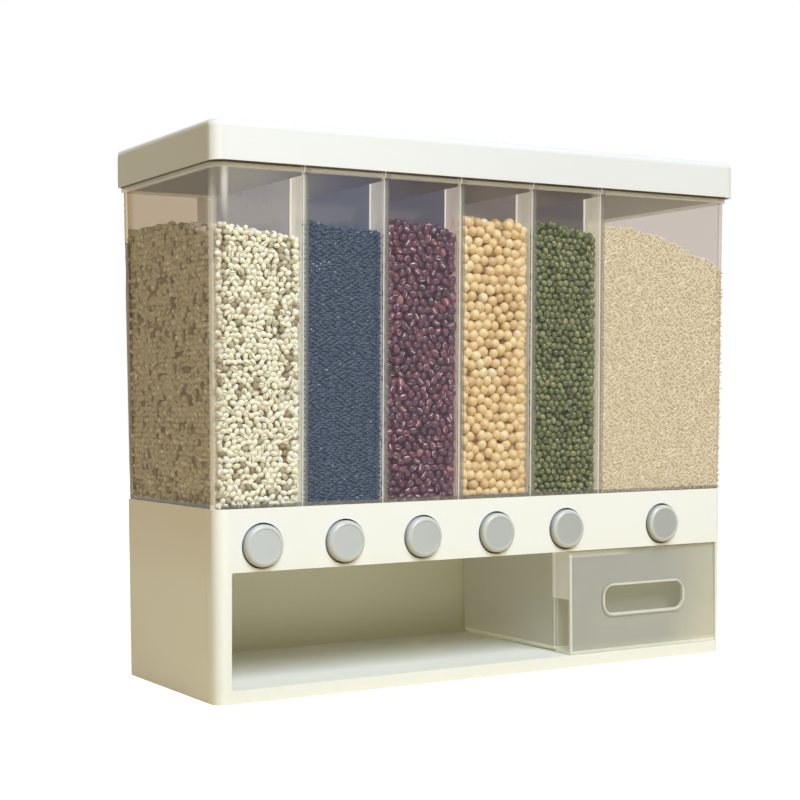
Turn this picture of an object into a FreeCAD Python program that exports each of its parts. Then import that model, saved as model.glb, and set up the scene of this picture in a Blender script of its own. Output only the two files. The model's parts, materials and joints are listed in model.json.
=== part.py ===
import FreeCAD, Part
import math
import os
import re

import Sketcher

# Wall-mounted dry food dispenser: a clear bin with six compartments stands on a white
# base with six sprung push buttons, over an open bay that holds a catch drawer.
# Millimetres, +Z up. X runs along the front, -Y faces the user, the wall is at +Y.
# The origin is the middle of the whole object's outline, on its flat foot.

sizes = {
    # compartments from left to right, five alike and a wide one, which set the width of the whole
    "compartment_pitch": 61.5,
    "wide_compartment": 117.7,
    # base housing, measured at its top edge
    "base_depth": 152,
    "base_height": 127,
    "side_draft": 1.5,
    "front_draft": 2,
    "base_wall": 2.4,
    "front_corner": 9,
    "back_corner": 3,
    "band_height": 41.5,
    "floor_height": 9,
    "floor_plate": 2.5,
    "left_post_width": 12,
    "right_post_width": 8,
    "ledge_width": 6,
    "ledge_thickness": 2,
    "foot_rib_thickness": 2,
    "spacer_width": 300,
    "spacer_height": 40,
    "spacer_thickness": 6,
    # clear bin
    "bin_height": 221,
    "bin_step": 1.2,
    "bin_side_lean": 2.5,
    "bin_front_lean": 5,
    "bin_back_lean": 2.5,
    "bin_wall": 2.2,
    "rim_height": 7,
    "rim_overhang": 1.8,
    "foot_flange": 3,
    "spigot_height": 6,
    "spigot_wall": 1.5,
    "spigot_clearance": 0.2,
    # dividing ribs and partitions
    "rib_thickness": 3.4,
    "front_rib_depth": 18,
    "back_rib_depth": 8,
    "groove_depth": 3,
    "partition_thickness": 1.6,
    "partition_clearance": 0.1,
    "partition_lift": 0.3,
    "partition_top_gap": 2,
    # lid and its seal
    "lid_height": 27,
    "lid_corner": 12,
    "lid_back_corner": 6,
    "lid_edge_round": 5,
    "lid_wall": 1.8,
    "lid_top": 2.4,
    "lid_side_overhang": 5.5,
    "lid_front_overhang": 12,
    "lid_back_overhang": 6.5,
    "rim_show": 3.5,
    "plug_wall": 1.8,
    "plug_clearance": 0.5,
    "plug_depth": 5.5,
    "seal_thickness": 1.5,
    "seal_inset": 0.6,
    "seal_width": 2.8,
    "seat_thickness": 2,
    # hopper tray
    "tray_clearance": 0.3,
    "tray_edge": 2.6,
    "ramp_run": 18,
    "back_ramp_run": 11,
    "ramp_drop": 5.5,
    "mouth_land": 7.4,
    "mouth_margin": 2,
    "outlet_setback": 84,
    "outlet_width": 40,
    "outlet_length": 11.5,
    "throat_wall": 2.2,
    "tray_rib_thickness": 2.4,
    "tray_rib_inset": 7.5,
    "boss_width": 7.2,
    # mechanism deck and gates
    "deck_thickness": 2.2,
    "deck_clearance": 0.4,
    "deck_overlap": 5,
    "gate_clearance": 0.3,
    "gate_thickness": 3.2,
    "gate_width": 44,
    "gate_window_length": 13,
    "gate_tail": 5,
    "gate_travel": 14,
    "guide_thickness": 2,
    "spout_margin": 1,
    "spout_wall": 1.6,
    "spout_drop": 1.2,
    "bearing_width": 16,
    "bearing_thickness": 2.8,
    "yoke_width": 12,
    "yoke_thickness": 3,
    "yoke_gap": 0.3,
    "stem_width": 5,
    "stem_clearance": 0.15,
    # push buttons and return springs
    "button_radius": 14.4,
    "button_length": 12,
    "button_gap": 0.8,
    "button_floor_gap": 0.4,
    "button_proud": 4.5,
    "button_face": 2.5,
    "spring_radius": 5.2,
    "spring_wire": 1,
    "spring_turns": 4,
    "spring_end_turns": 2,
    "spring_seat_gap": 0.3,
    # catch drawer
    "drawer_width": 138.6,
    "drawer_length": 129,
    "drawer_wall": 2,
    "drawer_lift": 0.3,
    "drawer_top_gap": 1.7,
    "drawer_side_gap": 0.4,
    "drawer_setback": 3,
    "drawer_round": 5,
    "finger_gap": 14,
    "flap_height": 35.2,
    "slot_width": 75,
    "slot_height": 20.5,
    "slot_corner": 7,
    "slot_rise": 0.5,
    "slot_rim": 2.4,
    "slot_rim_proud": 1,
    # wall bracket and the rail that hangs on it
    "wall_gap": 1.5,
    "bracket_width": 260,
    "bracket_height": 39,
    "bracket_sheet": 1.5,
    "tongue_height": 17,
    "tongue_offset": 2.3,
    "rail_width": 240,
    "rail_rise": 191,
    "rail_web": 2.5,
    "rail_lip": 12,
    "rail_lip_thickness": 1.5,
    "rail_clearance": 0.3,
    "wall_screw_spacing": 200,
    "wall_screw_radius": 2.25,
    # screws that clamp the deck to the tray
    "screw_radius": 1.25,
    "screw_head_radius": 2.9,
    "screw_head_height": 1.9,
    "screw_length": 12,
    "screw_fit": 0.05,
    "screw_hole_gap": 0.35,
    # how far a cut starts before a face and runs past it
    "cut_margin": 1,
}

doc = FreeCAD.newDocument("FoodDispenser")
sheet = doc.addObject("Spreadsheet::Sheet", "Sizes")
for row, (alias, number) in enumerate(sizes.items(), start=1):
    sheet.set(f"A{row}", alias.replace("_", " "))
    sheet.set(f"B{row}", str(number))
    sheet.setAlias(f"B{row}", alias)
doc.recompute()


def bound(formula):
    """A formula in the sheet's aliases, as an expression that the document follows."""
    return re.sub(r"[a-z]\w*", lambda word: "Sizes." + word[0] if word[0] in sizes else word[0], formula)


def value(formula):
    """What a formula gives with the sheet as it stands."""
    result = sheet.evalExpression(bound(formula))
    return float(getattr(result, "Value", result))


# the compartments with the bin's walls and the step round its foot give the widths
bin_side = "(bin_wall + bin_step)"
base_width = f"(5 * compartment_pitch + wide_compartment + 2 * {bin_side})"
lid_width = f"({base_width} + 2 * lid_side_overhang)"
first_divider = f"({bin_side} + compartment_pitch - {base_width} / 2)"
dividers = [f"({first_divider} + compartment_pitch * {number})" for number in range(5)]
wide_middle = f"({dividers[4]} + wide_compartment / 2)"
channels = [f"({divider} - compartment_pitch / 2)" for divider in dividers] + [wide_middle]
bay_left = f"(left_post_width - {base_width} / 2)"
bay_right = f"({base_width} / 2 - right_post_width)"

# levels and planes that several pieces share
lid_front = "(-(lid_front_overhang + base_depth + lid_back_overhang + wall_gap) / 2)"
base_front = f"({lid_front} + lid_front_overhang)"
base_back = f"({base_front} + base_depth)"
lid_back = f"({base_back} + lid_back_overhang)"
wall_plane = f"({lid_back} + wall_gap)"
bay_top = "(base_height - band_height)"
deck_bottom = f"({bay_top} + ledge_thickness)"
deck_top = f"({deck_bottom} + deck_thickness)"
gate_bottom = f"({deck_top} + gate_clearance)"
gate_top = f"({gate_bottom} + gate_thickness)"
throat_bottom = f"({gate_top} + gate_clearance)"
bin_top = "(base_height + bin_height)"
rim_top = f"({bin_top} + rim_height)"
seal_top = f"({rim_top} + seal_thickness)"
lid_bottom = f"({bin_top} + rim_show)"
lid_ceiling = f"({lid_bottom} + lid_height - lid_top)"
rail_level = "(base_height + rail_rise)"

# the button's line, from its face back to the gate that it pushes
button_level = f"({deck_bottom} + button_floor_gap + button_radius)"
cap_front = f"({base_front} + front_draft * (1 - {button_level} / base_height) - button_proud)"
cap_inside = f"({cap_front} + button_face)"
cap_back = f"({cap_front} + button_length)"
deck_front = f"({cap_back} + gate_travel + spring_seat_gap)"
bearing_front = f"({cap_back} + gate_travel + spring_wire * (spring_turns + spring_end_turns))"
bearing_back = f"({bearing_front} + bearing_thickness)"
yoke_front = f"({bearing_back} + yoke_gap)"
yoke_back = f"({yoke_front} + yoke_thickness)"
outlet_y = f"({base_front} + outlet_setback)"
gate_back = f"({outlet_y} + outlet_length / 2 + gate_tail)"

# the walls inside the band, where the ledge carries the deck
ledge_front = f"({deck_front} + deck_overlap)"
ledge_back = f"({base_back} - base_wall - ledge_width)"

# the deck's screws stand at the first and last divider, clear of the ledge
screw_rows = (f"({ledge_front} + boss_width / 2)", f"({ledge_back} - boss_width)")
screw_places = [(x, y) for x in (dividers[0], dividers[4]) for y in screw_rows]


# helpers: bodies, sketches and features that follow the sheet

def new_body(label):
    body = doc.addObject("PartDesign::Body", label)
    body.Label = label
    return body


def origin_plane(body, role):
    return next(feature for feature in body.Origin.OriginFeatures if feature.Role == role)


def new_sketch(body, role, offset="0", lift="0"):
    """A sketch on one of the body's planes, moved along the plane's normal and its own y."""
    sketch = body.newObject("Sketcher::SketchObject", f"{body.Name}_sketch")
    sketch.AttachmentSupport = [(origin_plane(body, role), "")]
    sketch.MapMode = "FlatFace"
    sketch.setExpression("AttachmentOffset.Base.z", bound(offset))
    sketch.setExpression("AttachmentOffset.Base.y", bound(lift))
    return sketch


def dimension(sketch, kind, references, formula):
    """A driving constraint whose datum follows a formula."""
    number = sketch.addConstraint(Sketcher.Constraint(kind, *references, value(formula)))
    name = f"size_{number}"
    sketch.renameConstraint(number, name)
    sketch.setExpression(f"Constraints.{name}", bound(formula))


def pin_point(sketch, geometry, end, x, y):
    dimension(sketch, "DistanceX", (-1, 1, geometry, end), x)
    dimension(sketch, "DistanceY", (-1, 1, geometry, end), y)


def polygon(sketch, points):
    """A closed outline whose corners are pairs of formulas."""
    corners = [FreeCAD.Vector(value(x), value(y), 0) for x, y in points]
    first = sketch.GeometryCount
    count = len(corners)
    for index, corner in enumerate(corners):
        sketch.addGeometry(Part.LineSegment(corner, corners[(index + 1) % count]), False)
    for index in range(count):
        following = first + (index + 1) % count
        sketch.addConstraint(Sketcher.Constraint("Coincident", first + index, 2, following, 1))
    for index, (x, y) in enumerate(points):
        pin_point(sketch, first + index, 1, x, y)


def rectangle(sketch, left, right, low, high):
    polygon(sketch, [(left, low), (right, low), (right, high), (left, high)])


def circle(sketch, x, y, radius):
    centre = FreeCAD.Vector(value(x), value(y), 0)
    number = sketch.addGeometry(Part.Circle(centre, FreeCAD.Vector(0, 0, 1), value(radius)), False)
    pin_point(sketch, number, 3, x, y)
    dimension(sketch, "Radius", (number,), radius)


def rounded_rectangle(sketch, left, right, low, high, low_radius, high_radius=None):
    """Four sides with rounded corners along the low one, and along the high one if it has a radius."""
    x0, x1, y0, y1 = (value(side) for side in (left, right, low, high))
    r0 = value(low_radius)
    r1 = value(high_radius or "0")
    first = sketch.GeometryCount
    sides = [
        ((x0 + r0, y0), (x1 - r0, y0)),
        ((x1, y0 + r0), (x1, y1 - r1)),
        ((x1 - r1, y1), (x0 + r1, y1)),
        ((x0, y1 - r1), (x0, y0 + r0)),
    ]
    corners = [
        (x1 - r0, y0 + r0, low_radius, -90),
        (x1 - r1, y1 - r1, high_radius, 0),
        (x0 + r1, y1 - r1, high_radius, 90),
        (x0 + r0, y0 + r0, low_radius, 180),
    ]
    for start, end in sides:
        sketch.addGeometry(Part.LineSegment(FreeCAD.Vector(*start, 0), FreeCAD.Vector(*end, 0)), False)
    for index, (x, y, radius, start) in enumerate(corners):
        side = first + index
        following = first + (index + 1) % 4
        direction = "Horizontal" if index % 2 == 0 else "Vertical"
        sketch.addConstraint(Sketcher.Constraint(direction, side))
        if not radius:
            sketch.addConstraint(Sketcher.Constraint("Coincident", side, 2, following, 1))
            continue
        round_edge = Part.Circle(FreeCAD.Vector(x, y, 0), FreeCAD.Vector(0, 0, 1), value(radius))
        arc = Part.ArcOfCircle(round_edge, math.radians(start), math.radians(start + 90))
        corner = sketch.addGeometry(arc, False)
        sketch.addConstraint(Sketcher.Constraint("Tangent", side, 2, corner, 1))
        sketch.addConstraint(Sketcher.Constraint("Tangent", corner, 2, following, 1))
        dimension(sketch, "Radius", (corner,), radius)
    dimension(sketch, "DistanceY", (-1, 1, first, 1), low)
    dimension(sketch, "DistanceX", (-1, 1, first + 1, 1), right)
    dimension(sketch, "DistanceY", (-1, 1, first + 2, 1), high)
    dimension(sketch, "DistanceX", (-1, 1, first + 3, 1), left)


def pad(body, sketch, length, backwards=False, both_ways=False):
    feature = body.newObject("PartDesign::Pad", f"{body.Name}_pad")
    feature.Profile = sketch
    feature.Midplane = both_ways
    feature.Reversed = backwards
    feature.setExpression("Length", bound(length))
    return feature


def pocket(body, sketch, length, backwards=False, both_ways=False):
    feature = body.newObject("PartDesign::Pocket", f"{body.Name}_pocket")
    feature.Profile = sketch
    feature.Midplane = both_ways
    feature.Reversed = backwards
    feature.setExpression("Length", bound(length))
    return feature


def repeat_along_x(body, originals, spacing, copies):
    feature = body.newObject("PartDesign::LinearPattern", f"{body.Name}_pattern")
    feature.Originals = originals
    feature.Direction = (origin_plane(body, "X_Axis"), [""])
    feature.Occurrences = copies
    feature.setExpression("Length", bound(f"{spacing} * {copies - 1}"))
    body.Tip = feature
    return feature


def round_edges(body, base, radius, chosen):
    """A fillet on the edges of the last feature that a test picks by their place."""
    doc.recompute()
    names = [f"Edge{number}" for number, edge in enumerate(base.Shape.Edges, start=1) if chosen(edge)]
    feature = body.newObject("PartDesign::Fillet", f"{body.Name}_fillet")
    feature.Base = (base, names)
    feature.setExpression("Radius", bound(radius))
    return feature


def is_near(first, second):
    return abs(first - second) < 0.01


def tapered_block(body, low, high, cut=False):
    """A block between two rectangles, each given as its level, left, right, front and back."""
    block = body.newObject(f"PartDesign::{'Subtractive' if cut else 'Additive'}Wedge", f"{body.Name}_block")
    block.AttachmentSupport = [(origin_plane(body, "XZ_Plane"), "")]
    block.MapMode = "FlatFace"
    for (level, left, right, front, back), names in (
        (low, ("Ymin", "Xmin", "Xmax", "Zmax", "Zmin")),
        (high, ("Ymax", "X2min", "X2max", "Z2max", "Z2min")),
    ):
        for name, formula in zip(names, (level, left, right, f"-{front}", f"-{back}")):
            block.setExpression(name, bound(formula))
    return block


def round_corners(body, base, low, high, **radii):
    """Fillets on the standing edges of a tapered block at its front, its back or both."""
    for side, radius in radii.items():
        side = {"front": 3, "back": 4}[side]
        foot, head = ([FreeCAD.Vector(value(outline[end]), value(outline[side]), value(outline[0]))
                       for end in (1, 2)] for outline in (low, high))

        def stands_there(edge):
            points = [vertex.Point for vertex in edge.Vertexes]
            return any(all(min(point.distanceToPoint(end) for point in points) < 0.01 for end in pair)
                       for pair in zip(foot, head))

        base = round_edges(body, base, radius, stands_there)
    return base


def outline_at(level, inset):
    """The base's plan at a level, moved in from its face by an inset."""
    taper = f"(1 - {level} / base_height)"
    half = f"({base_width} / 2 - side_draft * {taper} - {inset})"
    front = f"({base_front} + front_draft * {taper} + {inset})"
    return level, f"-{half}", half, front, f"({base_back} - {inset})"


def bin_front(level):
    return f"({base_front} - bin_front_lean * ({level} - base_height) / bin_height)"


def bin_back(level):
    return f"({base_back} + bin_back_lean * ({level} - base_height) / bin_height)"


def bin_outline_at(level, inset):
    """The bin's leaning plan at a level, moved in from its face by an inset."""
    lean = f"(bin_side_lean * ({level} - base_height) / bin_height)"
    half = f"({base_width} / 2 - bin_step + {lean} - {inset})"
    return level, f"-{half}", half, f"({bin_front(level)} + {inset})", f"({bin_back(level)} - {inset})"


def plan(body, outline, front_radius, back_radius=None, level=None):
    """A sketch of a rounded plan outline, at its own level or another one."""
    sketch = new_sketch(body, "XY_Plane", level or outline[0])
    rounded_rectangle(sketch, *outline[1:], front_radius, back_radius)
    return sketch


bin_inner_back = "(back_corner - bin_wall / 2)"


# base housing: tapered shell with the button band above an open bay

def make_base_housing():
    body = new_body("base_housing")
    outer = (outline_at("0", "0"), outline_at("base_height", "0"))
    tapered_block(body, *outer)
    for low, high in (("floor_height", bay_top), (deck_bottom, "base_height")):
        cavity = (outline_at(low, "base_wall"), outline_at(high, "base_wall"))
        shell = tapered_block(body, *cavity, cut=True)
        shell = round_corners(body, shell, *cavity, front="(front_corner - base_wall)")
    round_corners(body, shell, *outer, front="front_corner", back="back_corner")

    window = new_sketch(body, "XY_Plane", deck_bottom)
    ledge_outline = outline_at(deck_bottom, "(base_wall + ledge_width)")
    rectangle(window, *ledge_outline[1:3], ledge_front, ledge_outline[4])
    pocket(body, window, "ledge_thickness")

    behind_wall = f"-({base_front} + front_draft + base_wall + cut_margin)"
    wall_cut = "(front_draft + base_wall + 2 * cut_margin)"
    opening = new_sketch(body, "XZ_Plane", behind_wall)
    rectangle(opening, bay_left, bay_right, "floor_height", bay_top)
    pocket(body, opening, wall_cut, backwards=True)

    underside = plan(body, outline_at("0", "base_wall"), "(front_corner - base_wall)")
    pocket(body, underside, "(floor_height - floor_plate)", backwards=True)
    first_rib = new_sketch(body, "XY_Plane")
    rib_half = "(foot_rib_thickness / 2)"
    rectangle(first_rib, f"({channels[0]} - {rib_half})", f"({channels[0]} + {rib_half})",
              *outline_at("0", "(base_wall / 2)")[3:])
    rib = pad(body, first_rib, "(floor_height - floor_plate)")
    repeat_along_x(body, [rib], "compartment_pitch", 7)

    holes = new_sketch(body, "XZ_Plane", behind_wall)
    for x in channels:
        circle(holes, x, button_level, "(button_radius + button_gap)")
    pocket(body, holes, wall_cut, backwards=True)

    spacer = new_sketch(body, "XZ_Plane", f"-({base_back} - base_wall / 2)")
    rectangle(spacer, "(-spacer_width / 2)", "(spacer_width / 2)", "spacer_height",
              "(spacer_height + spacer_thickness)")
    pad(body, spacer, f"({wall_plane} - {base_back} + base_wall / 2)", backwards=True)
    return body


# clear bin: one leaning moulding, open below, with grooved ribs for the partitions

def make_bin_body():
    body = new_body("bin_body")
    inside_foot = "(base_height + foot_flange)"
    inner_front = "(front_corner - bin_wall)"
    outer = (bin_outline_at("base_height", "0"), bin_outline_at(bin_top, "0"))
    inner = (bin_outline_at(inside_foot, "bin_wall"), bin_outline_at(bin_top, "bin_wall"))
    tapered_block(body, *outer)
    shell = tapered_block(body, *inner, cut=True)
    shell = round_corners(body, shell, *inner, front=inner_front, back=bin_inner_back)
    round_corners(body, shell, *outer, front="front_corner", back="back_corner")
    rim = plan(body, bin_outline_at(bin_top, "(-rim_overhang)"), "(front_corner + rim_overhang)",
               "(back_corner + rim_overhang)")
    rounded_rectangle(rim, *inner[1][1:], inner_front, bin_inner_back)
    pad(body, rim, "rim_height")

    spigot_inset = "(base_wall + spigot_clearance)"
    spigot = plan(body, outline_at("base_height", spigot_inset), f"(front_corner - {spigot_inset})",
                  "(back_corner - base_wall / 2)")
    pad(body, spigot, "spigot_height", backwards=True)
    mouth_inset = f"({spigot_inset} + spigot_wall)"
    mouth = plan(body, outline_at("base_height", mouth_inset), f"(front_corner - {mouth_inset})",
                 level="(base_height - spigot_height)")
    pocket(body, mouth, "(spigot_height + foot_flange)", backwards=True)

    rib_top = f"({bin_top} - partition_top_gap)"
    front_low, front_high = (f"({bin_front(level)} + bin_wall)" for level in (inside_foot, rib_top))
    back_low, back_high = (f"({bin_back(level)} - bin_wall)" for level in (inside_foot, rib_top))
    front_rib = new_sketch(body, "YZ_Plane", first_divider)
    polygon(front_rib, [
        (f"({front_low} - bin_wall / 2)", inside_foot),
        (f"({front_low} + front_rib_depth)", inside_foot),
        (f"({front_high} + front_rib_depth)", rib_top),
        (f"({front_high} - bin_wall / 2)", rib_top),
    ])
    back_rib = new_sketch(body, "YZ_Plane", first_divider)
    polygon(back_rib, [
        (f"({back_low} - back_rib_depth)", inside_foot),
        (f"({back_low} + bin_wall / 2)", inside_foot),
        (f"({back_high} + bin_wall / 2)", rib_top),
        (f"({back_high} - back_rib_depth)", rib_top),
    ])
    ribs = [pad(body, sketch, "rib_thickness", both_ways=True) for sketch in (front_rib, back_rib)]
    repeat_along_x(body, ribs, "compartment_pitch", 5)

    front_groove = new_sketch(body, "YZ_Plane", first_divider)
    polygon(front_groove, [
        (f"({front_low} + front_rib_depth - groove_depth)", inside_foot),
        (f"({front_low} + front_rib_depth + groove_depth)", inside_foot),
        (f"({front_high} + front_rib_depth + groove_depth)", rib_top),
        (f"({front_high} + front_rib_depth - groove_depth)", rib_top),
    ])
    back_groove = new_sketch(body, "YZ_Plane", first_divider)
    polygon(back_groove, [
        (f"({back_low} - back_rib_depth - groove_depth)", inside_foot),
        (f"({back_low} - back_rib_depth + groove_depth)", inside_foot),
        (f"({back_high} - back_rib_depth + groove_depth)", rib_top),
        (f"({back_high} - back_rib_depth - groove_depth)", rib_top),
    ])
    groove_width = "(partition_thickness + 2 * partition_clearance)"
    grooves = [pocket(body, sketch, groove_width, both_ways=True) for sketch in (front_groove, back_groove)]
    repeat_along_x(body, grooves, "compartment_pitch", 5)

    rail = new_sketch(body, "YZ_Plane")
    lip_front = f"({wall_plane} - tongue_offset + rail_clearance)"
    lip_back = f"({lip_front} + rail_lip_thickness)"
    wall_middle = f"({bin_back(rail_level)} - bin_wall / 2)"
    polygon(rail, [
        (wall_middle, rail_level),
        (lip_front, rail_level),
        (lip_front, f"({rail_level} - rail_lip)"),
        (lip_back, f"({rail_level} - rail_lip)"),
        (lip_back, f"({rail_level} + rail_web)"),
        (wall_middle, f"({rail_level} + rail_web)"),
    ])
    pad(body, rail, "rail_width", both_ways=True)
    return body


# partitions: loose panels that slide down the grooves

def make_partition(number):
    body = new_body(f"partition_{number + 1}")
    low = "(base_height + partition_lift)"
    high = f"({bin_top} - partition_top_gap)"
    front_reach = "(bin_wall + front_rib_depth - groove_depth + partition_clearance)"
    back_reach = "(bin_wall + back_rib_depth - groove_depth + partition_clearance)"
    side = new_sketch(body, "YZ_Plane")
    polygon(side, [
        (f"({bin_front(low)} + {front_reach})", low),
        (f"({bin_back(low)} - {back_reach})", low),
        (f"({bin_back(high)} - {back_reach})", high),
        (f"({bin_front(high)} + {front_reach})", high),
    ])
    pad(body, side, "partition_thickness", both_ways=True)
    body.setExpression("Placement.Base.x", bound(dividers[number]))
    return body


# lid: deep skirt over the bin's rim, with a plug and a seat for the seal inside

def make_lid_shell():
    body = new_body("lid_shell")
    outer = (lid_bottom, f"(-{lid_width} / 2)", f"({lid_width} / 2)", lid_front, lid_back)
    block = pad(body, plan(body, outer, "lid_corner", "lid_back_corner"), "lid_height")
    top_level = value(f"({lid_bottom} + lid_height)")
    round_edges(body, block, "lid_edge_round",
                lambda edge: all(is_near(vertex.Z, top_level) for vertex in edge.Vertexes))

    inner_half = f"({lid_width} / 2 - lid_wall)"
    inner = (lid_bottom, f"-{inner_half}", inner_half, f"({lid_front} + lid_wall)",
             f"({lid_back} - lid_wall)")
    hollow = plan(body, inner, "(lid_corner - lid_wall)", "(lid_back_corner - lid_wall)")
    pocket(body, hollow, "(lid_height - lid_top)", backwards=True)

    # the plug hangs inside the bin's mouth, and the seat is a flange round it for the seal
    plug_foot = f"({rim_top} - plug_depth)"
    plug_outer = "(bin_wall + plug_clearance)"
    plug_inner = f"({plug_outer} + plug_wall)"
    plug = plan(body, bin_outline_at(bin_top, plug_outer), f"(front_corner - {plug_outer})", bin_inner_back,
                level=plug_foot)
    rounded_rectangle(plug, *bin_outline_at(bin_top, plug_inner)[1:], f"(front_corner - {plug_inner})")
    pad(body, plug, f"({lid_ceiling} + lid_top / 2 - {plug_foot})")
    seat_outer = "(seal_inset - rim_overhang)"
    seat_inner = f"({plug_outer} + plug_wall / 2)"
    seat = plan(body, bin_outline_at(bin_top, seat_outer), f"(front_corner - {seat_outer})",
                f"(back_corner - {seat_outer})", level=seal_top)
    rounded_rectangle(seat, *bin_outline_at(bin_top, seat_inner)[1:], f"(front_corner - {seat_inner})")
    pad(body, seat, "seat_thickness")
    return body


def make_lid_seal():
    body = new_body("lid_seal")
    outer = "(seal_inset - rim_overhang)"
    inner = f"({outer} + seal_width)"
    ring = plan(body, bin_outline_at(bin_top, outer), f"(front_corner - {outer})",
                f"(back_corner - {outer})", level=rim_top)
    rounded_rectangle(ring, *bin_outline_at(bin_top, inner)[1:], f"(front_corner - {inner})")
    pad(body, ring, "seal_thickness")
    return body


# hopper tray: six funnels that lead each compartment down to its gate

def make_hopper_tray():
    body = new_body("hopper_tray")
    inset = "(base_wall + spigot_clearance + spigot_wall + tray_clearance)"
    half, front, back = outline_at("base_height", inset)[2:]
    kink_y = f"({front} + ramp_run)"
    kink_level = "(base_height - ramp_drop)"
    edge_level = "(base_height - tray_edge)"
    section = new_sketch(body, "YZ_Plane")
    polygon(section, [
        (front, "base_height"),
        (front, edge_level),
        (kink_y, f"({kink_level} - tray_edge)"),
        (f"({outlet_y} - outlet_length / 2 - throat_wall)", throat_bottom),
        (f"({outlet_y} + outlet_length / 2 + throat_wall)", throat_bottom),
        (back, edge_level),
        (back, "base_height"),
    ])
    block = pad(body, section, f"({half} * 2)", both_ways=True)
    end_x = value(half)

    def stands_at_end(edge):
        first, last = (vertex.Point for vertex in edge.Vertexes)
        return is_near(abs(first.x), end_x) and is_near(first.x, last.x) and is_near(first.y, last.y)

    round_edges(body, block, "(front_corner - base_wall)", stands_at_end)

    def funnel(x, width):
        near = f"({front} + mouth_margin)"
        far = f"({back} - mouth_margin)"
        ramp_far = f"({far} - back_ramp_run)"
        sides = (f"({x} - {width} / 2)", f"({x} + {width} / 2)")
        rim = ("base_height", *sides, near, far)
        kink = (kink_level, *sides, kink_y, ramp_far)
        outlet = (throat_bottom, f"({x} - outlet_width / 2)", f"({x} + outlet_width / 2)",
                  f"({outlet_y} - outlet_length / 2)", f"({outlet_y} + outlet_length / 2)")
        return [tapered_block(body, low, high, cut=True) for low, high in ((kink, rim), (outlet, kink))]

    mouth_width = "(compartment_pitch - mouth_land)"
    repeat_along_x(body, funnel(channels[0], mouth_width), "compartment_pitch", 5)
    funnel(channels[5], f"(({half} - {wide_middle} - mouth_margin) * 2)")

    rib = new_sketch(body, "YZ_Plane", first_divider)
    rib_front = f"({front} + tray_rib_inset)"
    rib_back = f"({back} - tray_rib_inset)"
    rib_top = "(base_height - tray_edge / 2)"
    rectangle(rib, rib_front, rib_back, deck_top, rib_top)
    leg = pad(body, rib, "tray_rib_thickness", both_ways=True)
    repeat_along_x(body, [leg], "compartment_pitch", 5)
    end_wall = f"({half} + {channels[0]} - {mouth_width} / 2)"
    for place in (f"-{half}", f"({half} - {end_wall})"):
        end = new_sketch(body, "YZ_Plane", place)
        rectangle(end, rib_front, rib_back, deck_top, rib_top)
        pad(body, end, end_wall)

    bosses = new_sketch(body, "XY_Plane", deck_top)
    pilots = new_sketch(body, "XY_Plane", deck_top)
    for x, y in screw_places:
        rectangle(bosses, f"({x} - boss_width / 2)", f"({x} + boss_width / 2)", f"({y} - boss_width / 2)",
                  f"({y} + boss_width / 2)")
        circle(pilots, x, y, "(screw_radius + screw_fit)")
    pad(body, bosses, f"({kink_level} - tray_edge - {deck_top})")
    pocket(body, pilots, "(screw_length + screw_fit)", backwards=True)
    return body


# mechanism deck: closes the bay's ceiling, carries the gates and bears the stems

def make_mechanism_deck():
    body = new_body("mechanism_deck")
    outline = outline_at(deck_bottom, "(base_wall + deck_clearance)")
    plate = new_sketch(body, "XY_Plane", deck_bottom)
    rectangle(plate, *outline[1:3], deck_front, outline[4])
    pad(body, plate, "deck_thickness")

    half_x = "(outlet_width / 2 + spout_margin)"
    half_y = "(outlet_length / 2 + spout_margin)"

    def frames(sketch, grow):
        for x in channels:
            rectangle(sketch, f"({x} - {half_x} - {grow})", f"({x} + {half_x} + {grow})",
                      f"({outlet_y} - {half_y} - {grow})", f"({outlet_y} + {half_y} + {grow})")

    openings = new_sketch(body, "XY_Plane", deck_bottom)
    frames(openings, "0")
    pocket(body, openings, "deck_thickness", backwards=True)
    spouts = new_sketch(body, "XY_Plane", deck_bottom)
    frames(spouts, "0")
    frames(spouts, "spout_wall")
    pad(body, spouts, "spout_drop", backwards=True)

    guides = new_sketch(body, "XY_Plane", deck_top)
    for x in channels:
        for side in (-1, 1):
            near = f"({x} + {side} * (gate_width / 2 + gate_clearance))"
            far = f"({x} + {side} * (gate_width / 2 + gate_clearance + guide_thickness))"
            rectangle(guides, near, far, yoke_back, f"({gate_back} + gate_travel)")
    pad(body, guides, "gate_thickness")

    bearings = new_sketch(body, "XY_Plane", deck_top)
    stem_holes = new_sketch(body, "XZ_Plane", f"-({bearing_back} + cut_margin)")
    hole_half = "(stem_width / 2 + stem_clearance)"
    for x in channels:
        rectangle(bearings, f"({x} - bearing_width / 2)", f"({x} + bearing_width / 2)",
                  bearing_front, bearing_back)
        rectangle(stem_holes, f"({x} - {hole_half})", f"({x} + {hole_half})",
                  f"({button_level} - {hole_half})", f"({button_level} + {hole_half})")
    pad(body, bearings, f"({button_level} + stem_width - {deck_top})")
    pocket(body, stem_holes, "(bearing_thickness + 2 * cut_margin)", backwards=True)

    screw_holes = new_sketch(body, "XY_Plane", deck_bottom)
    for x, y in screw_places:
        circle(screw_holes, x, y, "(screw_radius + screw_hole_gap)")
    pocket(body, screw_holes, "deck_thickness", backwards=True)
    return body


# each channel: a gate with its yoke and stem, the button cap on it and the return spring

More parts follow.
